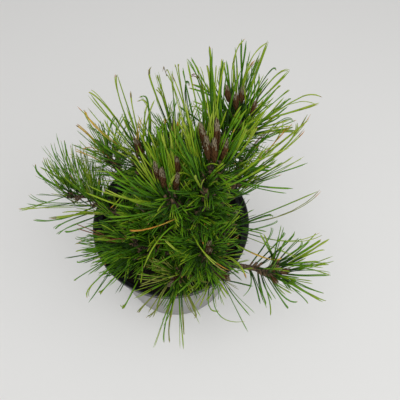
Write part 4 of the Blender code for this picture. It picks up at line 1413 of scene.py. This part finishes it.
@dataclass
class Pot:
    """The moulded nursery pot, black inside and round the rim and pale grey on its wall.

    Each stretch of its section is a row of corners, as steps outwards and upwards from the stretch's
    own origin.
    """

    height: float = 0.135
    rim_radius: float = 0.0845
    base_radius: float = 0.0700
    wall: float = 0.0018
    floor: float = 0.0026
    band_depth: float = 0.0115
    band_inset: float = 0.0018
    wall_inset: float = 0.0048
    edge: float = 0.0004
    step_height: float = 1.5  # of the inner step under the band, in wall thicknesses
    steps: int = 144
    sharp: float = radians(28)
    ledges: Section = (
        (0.0, -0.0078), (0.0006, -0.0071), (0.0006, -0.0044), (0.0014, -0.0037), (0.0014, -0.0012),
    )
    lip: Section = ((-0.0014, -0.0004), (-0.0009, 0.0), (0.0, -0.0009), (0.0, -0.0034))
    crease: Section = ((0.0002, -0.0039),)
    beads: Section = (
        (0.0, 0.0050), (0.0003, 0.0045), (0.0003, 0.0028), (0.0008, 0.0020), (0.0008, 0.0),
    )
    shoulder: Section = ((0.0006, -0.0008), (0.0, -0.0020))
    foot_ring: Section = (
        (0.0009, 0.0170), (-0.0001, 0.0160), (-0.0010, 0.0014),
        (-0.0022, 0.0), (-0.0060, 0.0), (-0.0072, 0.0012),
    )

    def inner_radius(self, height: float) -> float:
        """Measures the tapering inside.

        Args:
            height: A height below the rim band.

        Returns:
            The inside's radius there.
        """
        top = self.rim_radius - self.wall_inset - self.wall
        bottom = self.base_radius - self.wall
        return bottom + (top - bottom) * height / (self.height - self.band_depth)

    def section(self) -> list[tuple[float, float]]:
        """Draws the pot's section.

        Returns:
            Its corners from the middle of the floor, over the rim, to the middle of the underside.
        """
        foot = self.height - self.band_depth
        band = self.rim_radius - self.band_inset
        inside = band - self.wall
        stretches = (
            (inside, self.height, self.ledges),
            (self.rim_radius, self.height, self.lip),
            (band, self.height, self.crease),
            (band, foot, self.beads),
            (self.rim_radius - self.wall_inset, foot, self.shoulder),
            (self.base_radius, 0.0, self.foot_ring),
        )
        outer = [
            (radius + out, height + up) for radius, height, steps in stretches for out, up in steps
        ]
        return [
            (0.0, self.floor),
            (self.inner_radius(self.floor), self.floor),
            (self.inner_radius(foot), foot),
            (inside, foot + self.wall * self.step_height),
            *outer,
            (0.0, outer[-1][1]),
        ]

    def build(self, black: Finish, grey: Finish) -> Piece:
        """Spins the pot's section and gives its wall and its rim their plastics.

        Args:
            black: The plastic of the inside and the rim.
            grey: The plastic of the outer wall and the underside.

        Returns:
            The pot.
        """
        bm = spun(self.section(), self.steps)
        for face in bm.faces:
            centre = face.calc_center_median()
            out = sqrt(centre.x**2 + centre.y**2)
            below = centre.z < self.height - self.band_depth - self.edge
            outside = out > self.inner_radius(centre.z) + self.edge
            face.material_index = int(below and (outside or centre.z < self.floor / 2))
        mesh = mesh_from(bm, "nursery_pot", self.sharp)
        return piece_of("nursery_pot", mesh, (black, grey), ("pot",))


@dataclass
class Soil:
    """The compost that fills the pot, with crumbs and slivers of bark on its surface."""

    pot: Pot
    fall: float = 0.0035
    fall_from: float = 0.066
    fall_width: float = 0.012
    sunk: float = 0.0012
    rings: int = 30
    steps: int = 120
    lumps: float = 0.0016
    lumps_per_m: float = 160.0
    lump_noise: tuple[float, float, int] = (0.9, 2.1, 4)  # roughness, lacunarity and octaves
    crumbs: int = 1500
    slivers: int = 160
    sliver_length: float = 3.2  # against its breadth
    sizes: tuple[float, float] = (0.0006, 0.0020)
    lengths: tuple[float, float] = (0.8, 1.2)
    flatness: float = 0.7
    tilt: float = 0.35
    raised: float = 0.3
    rim_gap: float = 0.004
    sharp: float = radians(80)
    lump_sharp: float = radians(20)
    seed: int = 7

    def surface(self, out: float) -> float:
        """Returns the soil's height at a distance from the pot's axis."""
        share = max(0.0, (out - self.fall_from) / self.fall_width)
        return SOIL_HEIGHT - min(1.0, share) * self.fall - self.sunk

    def build(self, compost: Finish, chips: Finish) -> list[Piece]:
        """Makes the filling and what lies loose on it.

        Args:
            compost: The finish of the filling and its crumbs.
            chips: The finish of the slivers of bark.

        Returns:
            The pieces.
        """
        edge = self.pot.inner_radius(SOIL_HEIGHT - self.fall) - CLEAR
        floor = self.pot.floor + CLEAR
        radii = [edge * (index / self.rings) for index in range(self.rings + 1)]
        rows = [(radius, self.surface(radius)) for radius in radii]
        rows += [(self.pot.inner_radius(floor) - CLEAR, floor), (0.0, floor)]
        bm = spun(rows, self.steps)
        for vertex in bm.verts:
            if vertex.co.z > SOIL_HEIGHT / 2:
                rough = noise.fractal(vertex.co * self.lumps_per_m, *self.lump_noise)
                vertex.co.z += self.lumps * rough
        filling = mesh_from(bm, "potting_compost", self.sharp)
        nodes = ("potting_soil",)
        made = [piece_of("potting_compost", filling, (compost,), nodes)]
        chance = np.random.default_rng(self.seed)
        for name, count, longest, finish in (
            ("soil_crumbs", self.crumbs, 1.0, compost),
            ("bark_slivers", self.slivers, self.sliver_length, chips),
        ):
            mesh = self.scatter(name, count, longest, edge - self.rim_gap, chance)
            made.append(piece_of(name, mesh, (finish,), nodes))
        return made

    def scatter(
        self, name: str, count: int, longest: float, reach: float, chance: np.random.Generator
    ) -> bpy.types.Mesh:
        """Scatters small lumps over the soil.

        Args:
            name: The mesh's name.
            count: How many lumps.
            longest: A lump's length against its breadth.
            reach: The radius that they stay within.
            chance: The random draws.

        Returns:
            One mesh of all of them.
        """
        bm = bmesh.new()
        for _ in range(count):
            out = reach * sqrt(chance.random())
            turn = chance.uniform(0, 2 * pi)
            size = chance.uniform(*self.sizes)
            length = longest * chance.uniform(*self.lengths)
            stretch = Matrix.Diagonal((length, 1.0, self.flatness, 1.0))
            spin = Matrix.Rotation(chance.uniform(0, 2 * pi), 4, "Z")
            tilt = Matrix.Rotation(chance.normal(0, self.tilt), 4, "Y")
            height = self.surface(out) + size * self.raised
            where = Vector((out * cos(turn), out * sin(turn), height))
            matrix = Matrix.Translation(where) @ spin @ tilt @ stretch @ Matrix.Scale(size, 4)
            bmesh.ops.create_icosphere(bm, subdivisions=1, radius=1.0, matrix=matrix)
        return mesh_from(bm, name, self.lump_sharp)


# The woody parts


@dataclass
class Wood:
    """The trunk, the boughs and the shoots, with the relief of their bark."""

    crown: Crown
    # flaking bark: its plates stand up by shares of the radius, with cracks between them
    plates_per_m: float = 330.0
    plate_stretch: float = 0.5
    plate_height: float = 0.10
    crack_depth: float = 0.22
    plate_half: float = 0.25
    grit: float = 0.06
    grit_per_m: float = 900.0
    # young shoots: cushions where two sets of spirals cross, each with its number and its twist
    spirals: Section = ((3, 70), (5, -52))
    cushion: float = 0.16
    cushion_grit: float = 0.10
    cushion_grit_per_m: float = 700.0
    # rings along each kind of limb, and faces round it
    trunk_sides: int = 30
    trunk_rings: int = 110
    bough_sides: int = 16
    bough_rings: int = 8  # at least, and one more for each spacing
    bough_spacing: float = 0.0012
    shoot_sides: int = 10
    shoot_rings: int = 6
    shoot_spacing: float = 0.0016
    overlap: float = 0.02
    planted: float = 0.0035
    foot_rim: float = 0.0012
    sharp: float = radians(60)

    def old_bark(self, point: np.ndarray, t: float, angle: float) -> float:
        """Raises the plates of flaking bark.

        Args:
            point: The place on the bark.
            t: The share along the limb; not used.
            angle: The angle round it; not used.

        Returns:
            The relief there, as a share of the radius.
        """
        place = Vector(point) * self.plates_per_m
        place.z *= self.plate_stretch
        plates = noise.voronoi(place)[0][0]
        rough = self.grit * noise.noise(Vector(point) * self.grit_per_m)
        return self.plate_height - self.crack_depth * max(0.0, plates - self.plate_half) + rough

    def cushions(self, point: np.ndarray, t: float, angle: float) -> float:
        """Raises the small cushions of a young shoot, which bear its needles.

        Args:
            point: The place on the shoot.
            t: The share along it.
            angle: The angle round it.

        Returns:
            The relief there, as a share of the radius.
        """
        crossed = 1.0
        for number, twist in self.spirals:
            crossed *= sin(number * angle + twist * t)
        rough = self.cushion_grit * noise.noise(Vector(point) * self.cushion_grit_per_m)
        return self.cushion * max(0.0, crossed) + rough

    def build(self, bark: Finish, young: Finish) -> list[Piece]:
        """Makes the trunk, the boughs and the shoots.

        Args:
            bark: The finish of the trunk and the boughs.
            young: The finish of the shoots.

        Returns:
            The pieces.
        """
        trunk = self.crown.trunk
        bm = bmesh.new()
        add_tube(bm, trunk, LIMBS.trunk_radius, self.trunk_sides, self.trunk_rings, self.old_bark)
        foot = trunk.start[2] - self.planted
        for vertex in bm.verts:
            if vertex.co.z < trunk.start[2] + self.foot_rim:
                vertex.co.z = max(vertex.co.z - self.planted, foot)
        mesh = mesh_from(bm, "trunk_bark", self.sharp)
        made = [piece_of("trunk_bark", mesh, (bark,), ("trunk",))]
        radius_at = tapering(LIMBS.bough_root, LIMBS.bough_tip)
        for mass in MASSES[1:]:
            arc = self.crown.limbs[mass.name].before(mass.bare + self.overlap)
            rings = self.bough_rings + int(arc.length() / self.bough_spacing)
            bm = bmesh.new()
            add_tube(bm, arc, radius_at, self.bough_sides, rings, self.old_bark)
            mesh = mesh_from(bm, mass.name + "_bough_bark", self.sharp)
            nodes = ("bough_" + mass.name,)
            made.append(piece_of(mass.name + "_bough_bark", mesh, (bark,), nodes))
        bm = bmesh.new()
        for mass in MASSES:
            stem, *sides = self.crown.shoots[mass.name]
            root = LIMBS.trunk_tip if mass.name == LEADER else LIMBS.bough_tip
            self.add_shoot(bm, stem, root, LIMBS.stem_tip)
            for side in sides:
                self.add_shoot(bm, side, LIMBS.side_root, LIMBS.side_tip)
            for twig in self.crown.twigs[mass.name]:
                self.add_shoot(bm, twig, LIMBS.twig_root, LIMBS.twig_tip)
        mesh = mesh_from(bm, "young_shoots", self.sharp)
        made.append(piece_of("young_shoots", mesh, (young,), FOLIAGE_NODES))
        return made

    def add_shoot(self, bm: bmesh.types.BMesh, arc: Arc, root: float, tip: float) -> None:
        """Adds one shoot, with rings close enough for its cushions."""
        rings = self.shoot_rings + int(arc.length() / self.shoot_spacing)
        add_tube(bm, arc, tapering(root, tip), self.shoot_sides, rings, self.cushions)


@dataclass
class Buds:
    """The winter buds: spindles wrapped in overlapping scales, brown below and whitened by resin above."""

    crown: Crown
    width: float = 0.0053
    # the spindle's outline: a slim foot, a belly and a shoulder that tapers
    foot: float = 0.42
    belly: float = 0.52
    belly_end: float = 0.95
    shoulder: float = 0.45
    shoulder_power: int = 4
    core_sides: int = 10
    core_rings: int = 12
    core_sharp: float = radians(50)
    # its scales
    full_length: float = 0.020
    scales: int = 64
    scale_length: float = 0.0052
    scale_width: float = 0.0021
    scale_flatness: float = 0.22
    scale_rings: int = 5
    first_scale: float = 0.02
    scale_span: float = 0.90
    tucked: float = 0.86
    shorter: float = 0.35
    narrower: float = 0.3
    length_sway: tuple[float, float] = (0.75, 1.25)
    foot_lean: float = 0.32
    lean_lost: float = 0.40
    sway: float = 0.12
    bulge: float = 0.0004
    resin_from: float = 0.62
    seed: int = 21

    def radius(self, t: float) -> float:
        """Returns half a bud's width at t."""
        round_part = self.foot + self.belly * sin(pi * min(1.0, t * self.belly_end))
        return self.width / 2 * round_part * (1 - self.shoulder * t**self.shoulder_power)

    def wrap(self, spindle: Arc, chance: np.random.Generator) -> list[Blade]:
        """Lays the scales of one bud in a spiral from its foot to its tip.

        Args:
            spindle: The bud's axis.
            chance: The random draws.

        Returns:
            The scales.
        """
        made = []
        scales = round(self.scales * spindle.length() / self.full_length)
        for index in range(scales):
            t = self.first_scale + self.scale_span * index / scales
            heading, first, second = spindle.frame(t)
            turn = index * GOLDEN_ANGLE
            out = first * cos(turn) + second * sin(turn)
            foot = spindle.at(t) + out * self.radius(t) * self.tucked
            long = self.scale_length * (1.0 - self.shorter * t) * chance.uniform(*self.length_sway)
            lean = out * (self.foot_lean - self.lean_lost * t + chance.normal(0, self.sway))
            along = unit(heading + lean)
            end = foot + along * long
            middle = foot + along * long / 2 + out * self.bulge
            pale = t + chance.normal(0, self.sway) > self.resin_from
            tone = Tone.PALE if pale else Tone.RUSSET
            width = self.scale_width * (1 - self.narrower * t)
            made.append(Blade(Arc(foot, middle, end), width, tone, out))
        return made

    def build(self, core: Finish, brown: Finish, resin: Finish) -> list[Piece]:
        """Makes the spindles and both kinds of scale.

        Args:
            core: The finish under the scales.
            brown: The finish of the lower scales.
            resin: The finish of the scales that resin whitens.

        Returns:
            The pieces.
        """
        chance = np.random.default_rng(self.seed)
        bm = bmesh.new()
        scales: list[Blade] = []
        for mass in MASSES:
            for spindle in self.crown.spindles(mass):
                add_tube(bm, spindle, self.radius, self.core_sides, self.core_rings)
                scales += self.wrap(spindle, chance)
        mesh = mesh_from(bm, "bud_cores", self.core_sharp)
        made = [piece_of("bud_cores", mesh, (core,), FOLIAGE_NODES)]
        for name, tone, finish in (
            ("bud_scales", Tone.RUSSET, brown),
            ("resin_scales", Tone.PALE, resin),
        ):
            chosen = [scale for scale in scales if scale.tone is tone]
            spans = np.tile((0.0, 1.0), (len(chosen), 1))
            mesh = blades_mesh(
                name, chosen, spans, scale_outline, self.scale_rings, self.scale_flatness
            )
            made.append(piece_of(name, mesh, (finish,), FOLIAGE_NODES))
        return made


@dataclass
class Foliage:
    """The needles, in pairs, with the sheath that holds each pair, and the rule that grows them."""

    crown: Crown
    # a needle of the solids' rule
    touching: float = 0.2  # the first share of a needle, which may touch what carries it
    lean_per_try: float = 0.94
    length_per_try: float = 0.95
    lean_sway: float = 0.8
    lean_curve: float = 1.5
    needle_lengths: tuple[float, float] = (0.66, 1.08)
    foot_length: float = 0.62  # a needle's length at the stem's foot as a share of the full one
    full_from: float = 0.45  # the share of the shoot from which needles have their full length
    far_foot: float = 0.8
    far_sag: float = 0.12
    first_needle: float = 0.04
    needle_span: float = 0.93
    turn_sway: float = 0.3
    spray: tuple[float, float] = (0.5, 1.5)
    pair_seed: int = 100
    # old needles that hide the wood, in dark tones that are partly painted shade
    mat_first: float = 0.30
    mat_last: float = 0.85
    mat_top: float = 0.20
    mat_density: float = 2600.0
    mat_skips: tuple[str, ...] = ("right_twig", "right")
    mat_lean: tuple[float, float] = (40.0, 100.0)
    mat_needle: tuple[float, float] = (0.020, 0.042)
    mat_touching: float = 0.3
    mat_seed: int = 80
    # single pairs
    traced_seed: int = 60
    hidden_seed: int = 61
    # sheaths, dry tips and meshes
    sheath_share: float = 0.09
    sheath_width: float = 2.1  # against its needle's
    sheath_flatness: float = 0.8
    needle_roughness: float = 0.5
    dry_roughness: float = 0.6
    dry_tones: tuple[Tone, ...] = (Tone.TAN, Tone.OLIVE, Tone.ORANGE)
    zone_rings: int = 4
    tip_rings: int = 5
    short_rings: int = 3

    def blade(
        self, mass: Mass, shoot: Arc, share: float, turn: float, chance: np.random.Generator
    ) -> tuple[Arc, float] | None:
        """Grows one needle by the rule of the solids.

        Args:
            mass: The mass that it belongs to.
            shoot: The shoot or twig that carries it.
            share: How far along the shoot it stands.
            turn: The side of the shoot that it stands on.
            chance: The mass's own random draws.

        Returns:
            Its curve and length, or None where no room is left for it.
        """
        owner = MASSES.index(mass)
        foot = shoot.at(share)
        angle = radians(mass.wide + (mass.tight - mass.wide) * share**self.lean_curve)
        angle *= 1 + chance.normal(0, mass.look.sway * self.lean_sway)
        grown = self.foot_length + (1 - self.foot_length) * min(1.0, share / self.full_from)
        length = mass.needle * chance.uniform(*self.needle_lengths) * grown
        sway = chance.normal(0, mass.look.sway, 3)
        pull = np.array(mass.pull)
        for attempt in range(self.crown.tries):
            lean = angle * self.lean_per_try**attempt
            out = unit(shoot.leaning(share, turn + attempt * self.crown.turn_per_try, lean) + pull)
            bend = unit(out + pull + sway)
            reach = length * self.length_per_try**attempt
            middle = foot + out * reach / 2
            arc = Arc(foot, middle, middle + bend * reach / 2)
            if self.crown.is_free(owner, arc, self.touching):
                return arc, reach
        return None

    def far_needle(self, mass: Mass, tip: Sequence[float]) -> tuple[Arc, float]:
        """Grows the long needle of the solids that ends at a far tip.

        Args:
            mass: The mass that it belongs to.
            tip: Where it ends.

        Returns:
            Its curve and length.
        """
        foot = self.crown.shoots[mass.name][0].at(self.far_foot)
        end = np.array(tip)
        length = float(np.linalg.norm(end - foot))
        sag = self.far_sag * (length - abs(end[2] - foot[2]))
        return Arc(foot, (foot + end) / 2 - UP * sag, end), length

    def pairs(self, mass: Mass) -> list[Blade]:
        """Grows every needle of a mass, in pairs that share a foot.

        Args:
            mass: The mass to fill.

        Returns:
            The needles, two after each other for each pair.
        """
        chance = np.random.default_rng(self.pair_seed + MASSES.index(mass))
        carriers = self.crown.shoots[mass.name] + self.crown.twigs[mass.name]
        total = sum(arc.length() for arc in carriers)
        tones = list(mass.look.tones)
        weights = np.array([mass.look.tones[tone] for tone in tones], float)
        found: list[Blade] = []
        for tip in mass.far_tips:
            tone = tones[chance.choice(len(tones), p=weights / weights.sum())]
            grown = self.far_needle(mass, tip)
            found += self.pair_of(grown, mass.look, tone, chance, FAR_PAIR)
        for shoot in carriers:
            count = round(mass.pairs * shoot.length() / total)
            spray = weights * chance.uniform(*self.spray, len(weights))
            for index in range(count):
                share = self.first_needle + self.needle_span * (index + chance.random()) / count
                turn = index * GOLDEN_ANGLE + chance.normal(0, self.turn_sway)
                grown = self.blade(mass, shoot, share, turn, chance)
                if grown is None:
                    continue
                tone = tones[chance.choice(len(tones), p=spray / spray.sum())]
                arc, length = grown
                # hanging needles and those low on a shoot more often take the darker tones: partly age,
                # partly painted shade
                hangs = arc.end[2] < arc.start[2] + HANGING_RISE * length
                lit_young_at_foot, lit_young_gain = HANGING_LIT_YOUNG if hangs else RISING_LIT_YOUNG
                if chance.random() > lit_young_at_foot + share * lit_young_gain:
                    tone = OLD_AND_SHADED_TONES[chance.integers(len(OLD_AND_SHADED_TONES))]
                found += self.pair_of(grown, mass.look, tone, chance, GROWN_PAIR)
        return found

    def mat(self) -> list[Blade]:
        """Grows the fine old needles along the trunk and the low boughs, which hide the wood.

        Returns:
            The needles, two after each other for each pair.
        """
        chance = np.random.default_rng(self.mat_seed)
        carriers = [self.crown.trunk.after(self.mat_first)]
        for mass in MASSES:
            if mass.bud[2] > self.mat_top:
                carriers.append(self.crown.shoots[mass.name][0].before(self.mat_last))
            elif mass.name not in self.mat_skips:
                carriers.append(self.crown.limbs[mass.name].before(mass.bare).after(self.mat_first))
        found: list[Blade] = []
        for carrier in carriers:
            for index in range(round(self.mat_density * carrier.length())):
                share = chance.random()
                lean = radians(chance.uniform(*self.mat_lean))
                length = chance.uniform(*self.mat_needle)
                out = carrier.leaning(share, index * GOLDEN_ANGLE, lean)
                foot = carrier.at(share)
                middle = foot + out * length / 2
                bend = unit(out + chance.normal(0, INNER.sway, 3))
                arc = Arc(foot, middle, middle + bend * length / 2)
                if self.crown.is_free(None, arc, self.mat_touching):
                    tone = MAT_TONES[chance.integers(len(MAT_TONES))]
                    found += self.pair_of((arc, length), INNER, tone, chance, GROWN_PAIR)
        return found

    def traced(self) -> list[Blade]:
        """Grows the pairs that the photo shows by themselves, each at right angles to its sight lines.

        Returns:
            The needles, two after each other for each pair.
        """
        chance = np.random.default_rng(self.traced_seed)
        eye = np.array(self.crown.view.position)
        looks = {mass.name: mass.look for mass in MASSES}
        found: list[Blade] = []
        for name, pairs in TRACED:
            for pair in pairs:
                foot = self.crown.limbs[name].at(pair.share)
                lean = unit(eye - foot) * pair.nearer
                tip = self.crown.view.near(pair.tip, foot + lean)
                chord = (foot + tip + lean) / 2
                middle = 2 * self.crown.view.near(pair.middle, chord) - chord
                length = float(np.linalg.norm(tip - foot))
                LOG.info("%s needle of %.0f mm", name, length * MM_IN_M)
                look = replace(looks[name], width=pair.width)
                parting = replace(TRACED_PAIR, browned=pair.browned)
                found += self.pair_of((Arc(foot, middle, tip), length), look, pair.tone, chance, parting)
        return found

    def hidden(self) -> list[Blade]:
        """Grows the long pairs that reach furthest back, on the side away from the camera.

        Returns:
            The needles, two after each other for each pair.
        """
        chance = np.random.default_rng(self.hidden_seed)
        masses = {mass.name: mass for mass in MASSES}
        found: list[Blade] = []
        for name, tip in HIDDEN_TIPS:
            mass = masses[name]
            grown = self.far_needle(mass, tip)
            found += self.pair_of(grown, mass.look, Tone.GREEN, chance, FAR_PAIR)
        return found

    @staticmethod
    def pair_of(
        grown: tuple[Arc, float], look: Look, tone: Tone, chance: np.random.Generator, parting: Parting
    ) -> list[Blade]:
        """Parts one grown curve into the two needles of a pair.

        Args:
            grown: The curve of the pair and its length.
            look: The mass's look.
            tone: The colour of both.
            chance: The mass's own random draws.
            parting: How the two stand apart.

        Returns:
            The two needles.
        """
        arc, length = grown
        aside = unit(np.cross(arc.heading(0.5), chance.normal(0, 1, 3)))
        gap = length * chance.uniform(*parting.spread)
        browned = parting.browned
        if browned is None:
            browned = chance.uniform(*parting.dry_shares) if chance.random() < look.browned else 0.0
        made = []
        for sign in (-1, 1):
            kept = 1 - parting.trim * chance.random()
            middle = arc.start + (arc.middle - arc.start) * kept + aside * sign * gap * 0.5
            end = arc.start + (arc.end - arc.start) * kept + aside * sign * gap
            foot = arc.start + aside * sign * look.width * parting.foot_gap
            width = look.width * chance.uniform(*parting.widths)
            ripple = chance.normal(0, parting.ripple) * length
            side = chance.normal(0, 1, 3)
            # where the foot's painted shade ends and where the outer part's painted light starts
            dark = chance.uniform(*parting.painted_shade_ends)
            light = chance.uniform(*parting.painted_light_starts)
            made.append(Blade(Arc(foot, middle, end), width, tone, side, browned, ripple, dark, light))
        return made

    def grown(self) -> list[Blade]:
        """Grows every needle.

        Returns:
            The needles, two after each other for each pair.
        """
        blades: list[Blade] = []
        for mass in MASSES:
            of_mass = self.pairs(mass)
            LOG.info("%s: %d needles", mass.name, len(of_mass))
            blades += of_mass
        return blades + self.mat() + self.traced() + self.hidden()

    def build(self, sheath: Finish) -> list[Piece]:
        """Makes the needles, joined by colour, and their sheaths.

        Args:
            sheath: The finish of the sheaths.

        Returns:
            The pieces.
        """
        blades = self.grown()
        made = []
        for tone in Tone:
            # Each needle is made in three zones: its foot in a darker tone, painted shade; its middle in
            # its own tone; and its outer part in a lighter tone, painted light.
            shaded_feet, middles, tips = (
                [blade for blade in blades if NEEDLE_SHADE_AND_LIGHT[blade.tone][zone] is tone] for zone in range(ZONES)
            )
            waxy = PlantSkin("waxy_needle_" + tone.name.lower(), tone.value, self.needle_roughness)
            finish = waxy.build()
            for zone, chosen, spans, rings in (
                ("shaded_feet", shaded_feet, [(0.0, part.dark) for part in shaded_feet], self.zone_rings),
                ("middles", middles, [(part.dark, part.light) for part in middles], self.zone_rings),
                ("tips", tips, [(part.light, 1 - part.browned) for part in tips], self.tip_rings),
            ):
                if chosen:
                    name = f"needle_{zone}_{tone.name.lower()}"
                    mesh = blades_mesh(name, chosen, np.array(spans), needle_outline, rings)
                    made.append(piece_of(name, mesh, (finish,), FOLIAGE_NODES))
        browned = [blade for blade in blades if blade.browned]
        for index, tone in enumerate(self.dry_tones):
            chosen = browned[index :: len(self.dry_tones)]
            spans = np.array([(1.0 - blade.browned, 1.0) for blade in chosen])
            name = "dry_tips_" + tone.name.lower()
            mesh = blades_mesh(name, chosen, spans, needle_outline, self.short_rings)
            dry = PlantSkin("dry_needle_" + tone.name.lower(), tone.value, self.dry_roughness)
            made.append(piece_of(name, mesh, (dry.build(),), FOLIAGE_NODES))
        sleeves = [
            replace(blade, width=blade.width * self.sheath_width, ripple=0.0) for blade in blades[::2]
        ]
        spans = np.tile((0.0, self.sheath_share), (len(sleeves), 1))
        mesh = blades_mesh(
            "sheaths", sleeves, spans, np.ones_like, self.short_rings, self.sheath_flatness
        )
        made.append(piece_of("sheaths", mesh, (sheath,), FOLIAGE_NODES))
        return made


# Light and floor


@dataclass(frozen=True)
class Studio:
    """A pale floor under broad, soft light from above and from the camera's side."""

    floor_side: float = 6.0
    floor_code: str = "E4E4E3"
    floor_roughness: float = 0.8
    sky_code: str = "FFFEFD"
    sky: float = 0.5
    key_power: float = 10.6
    key_place: Place = (-0.15, -0.48, 1.6)
    fill_power: float = 5.2
    fill_place: Place = (0.8, -0.42, 1.2)
    lamp_side: float = 1.2
    aim: Place = (0.0, 0.0, 0.15)

    def build(self) -> None:
        """Makes the floor, the lights and the sky."""
        bm = bmesh.new()
        bmesh.ops.create_grid(bm, x_segments=1, y_segments=1, size=self.floor_side / 2)
        mesh = bpy.data.meshes.new("floor")
        bm.to_mesh(mesh)
        bm.free()
        floor = bpy.data.objects.new("floor", mesh)
        bpy.context.scene.collection.objects.link(floor)
        levels = {"Base Color": linear(self.floor_code), "Roughness": self.floor_roughness}
        mesh.materials.append(new_finish("painted_floor", levels)[0])
        floor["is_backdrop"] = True
        world = bpy.data.worlds.new("studio")
        world.use_nodes = True
        background = world.node_tree.nodes["Background"]
        background.inputs["Color"].default_value = linear(self.sky_code)
        background.inputs["Strength"].default_value = self.sky
        bpy.context.scene.world = world
        self.lamp("key", self.key_power, self.key_place)
        self.lamp("fill", self.fill_power, self.fill_place)

    def lamp(self, name: str, power: float, place: Place) -> None:
        """Makes a square soft lamp that faces the plant.

        Args:
            name: The lamp's name.
            power: Its power in watts.
            place: Where it hangs.
        """
        data = bpy.data.lights.new(name, "AREA")
        data.energy = power
        data.size = self.lamp_side
        lamp = bpy.data.objects.new(name, data)
        lamp.location = place
        aim = Vector(self.aim) - lamp.location
        lamp.rotation_euler = aim.to_track_quat("-Z", "Y").to_euler()
        bpy.context.scene.collection.objects.link(lamp)


def corners() -> list[list[float]]:
    """Returns the whole object's lowest and highest corners as plain lists of numbers."""
    return [list(corner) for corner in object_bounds()]


def main() -> None:
    """Loads the frame and builds the potted plant round it."""
    logging.basicConfig(level=logging.INFO, format="%(name)s %(message)s")
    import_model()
    sizes = {"cad": corners()}
    bpy.context.scene.view_settings.view_transform = "Standard"
    view = PhotoView()
    view.build()
    Studio().build()
    low, high = (np.array(corner) for corner in sizes["cad"])
    crown = Crown(low, high, view)
    black = MouldedPlastic("moulded_black_polypropylene", "1B1C1E", "34363A", roughness=0.38)
    grey = MouldedPlastic("moulded_grey_polypropylene", "8D8C8A", "9A9996", roughness=0.5)
    pot = Pot()
    pot.build(black.build(), grey.build())
    compost = Compost("damp_peat_compost", dark="120D09", pale="33261B")
    chips = PineBark(
        "shredded_bark_chip", crack="1A110B", skin="3A281B", flake="5A4532", flake_mm=3.0, height=0.0004
    )
    Soil(pot).build(compost.build(), chips.build())
    bark = PineBark(
        "flaking_pine_bark", crack="241811", skin="5B4030", flake="7C6653", flake_mm=3.2, height=0.0007
    )
    # The young bark's colours are darker than its own grey-brown: painted shade on shoots inside the
    # crown.
    young = PineBark(
        "shaded_young_shoot_bark", crack="1C140E", skin="463526", flake="66553F", flake_mm=1.6, height=0.0003
    )
    Wood(crown).build(bark.build(), young.build())
    core = PlantSkin("bud_core", "40280F", roughness=0.7)
    brown = PlantSkin("papery_bud_scale", "5E4024", roughness=0.6)
    resin = PlantSkin("resinous_bud_scale", "8C8068", roughness=0.5, shine=0.2)
    Buds(crown).build(core.build(), brown.build(), resin.build())
    sheath = PlantSkin("papery_sheath", "6A5540", roughness=0.75)
    Foliage(crown).build(sheath.build())
    sizes["visual"] = corners()


if __name__ == "__main__":
    main()
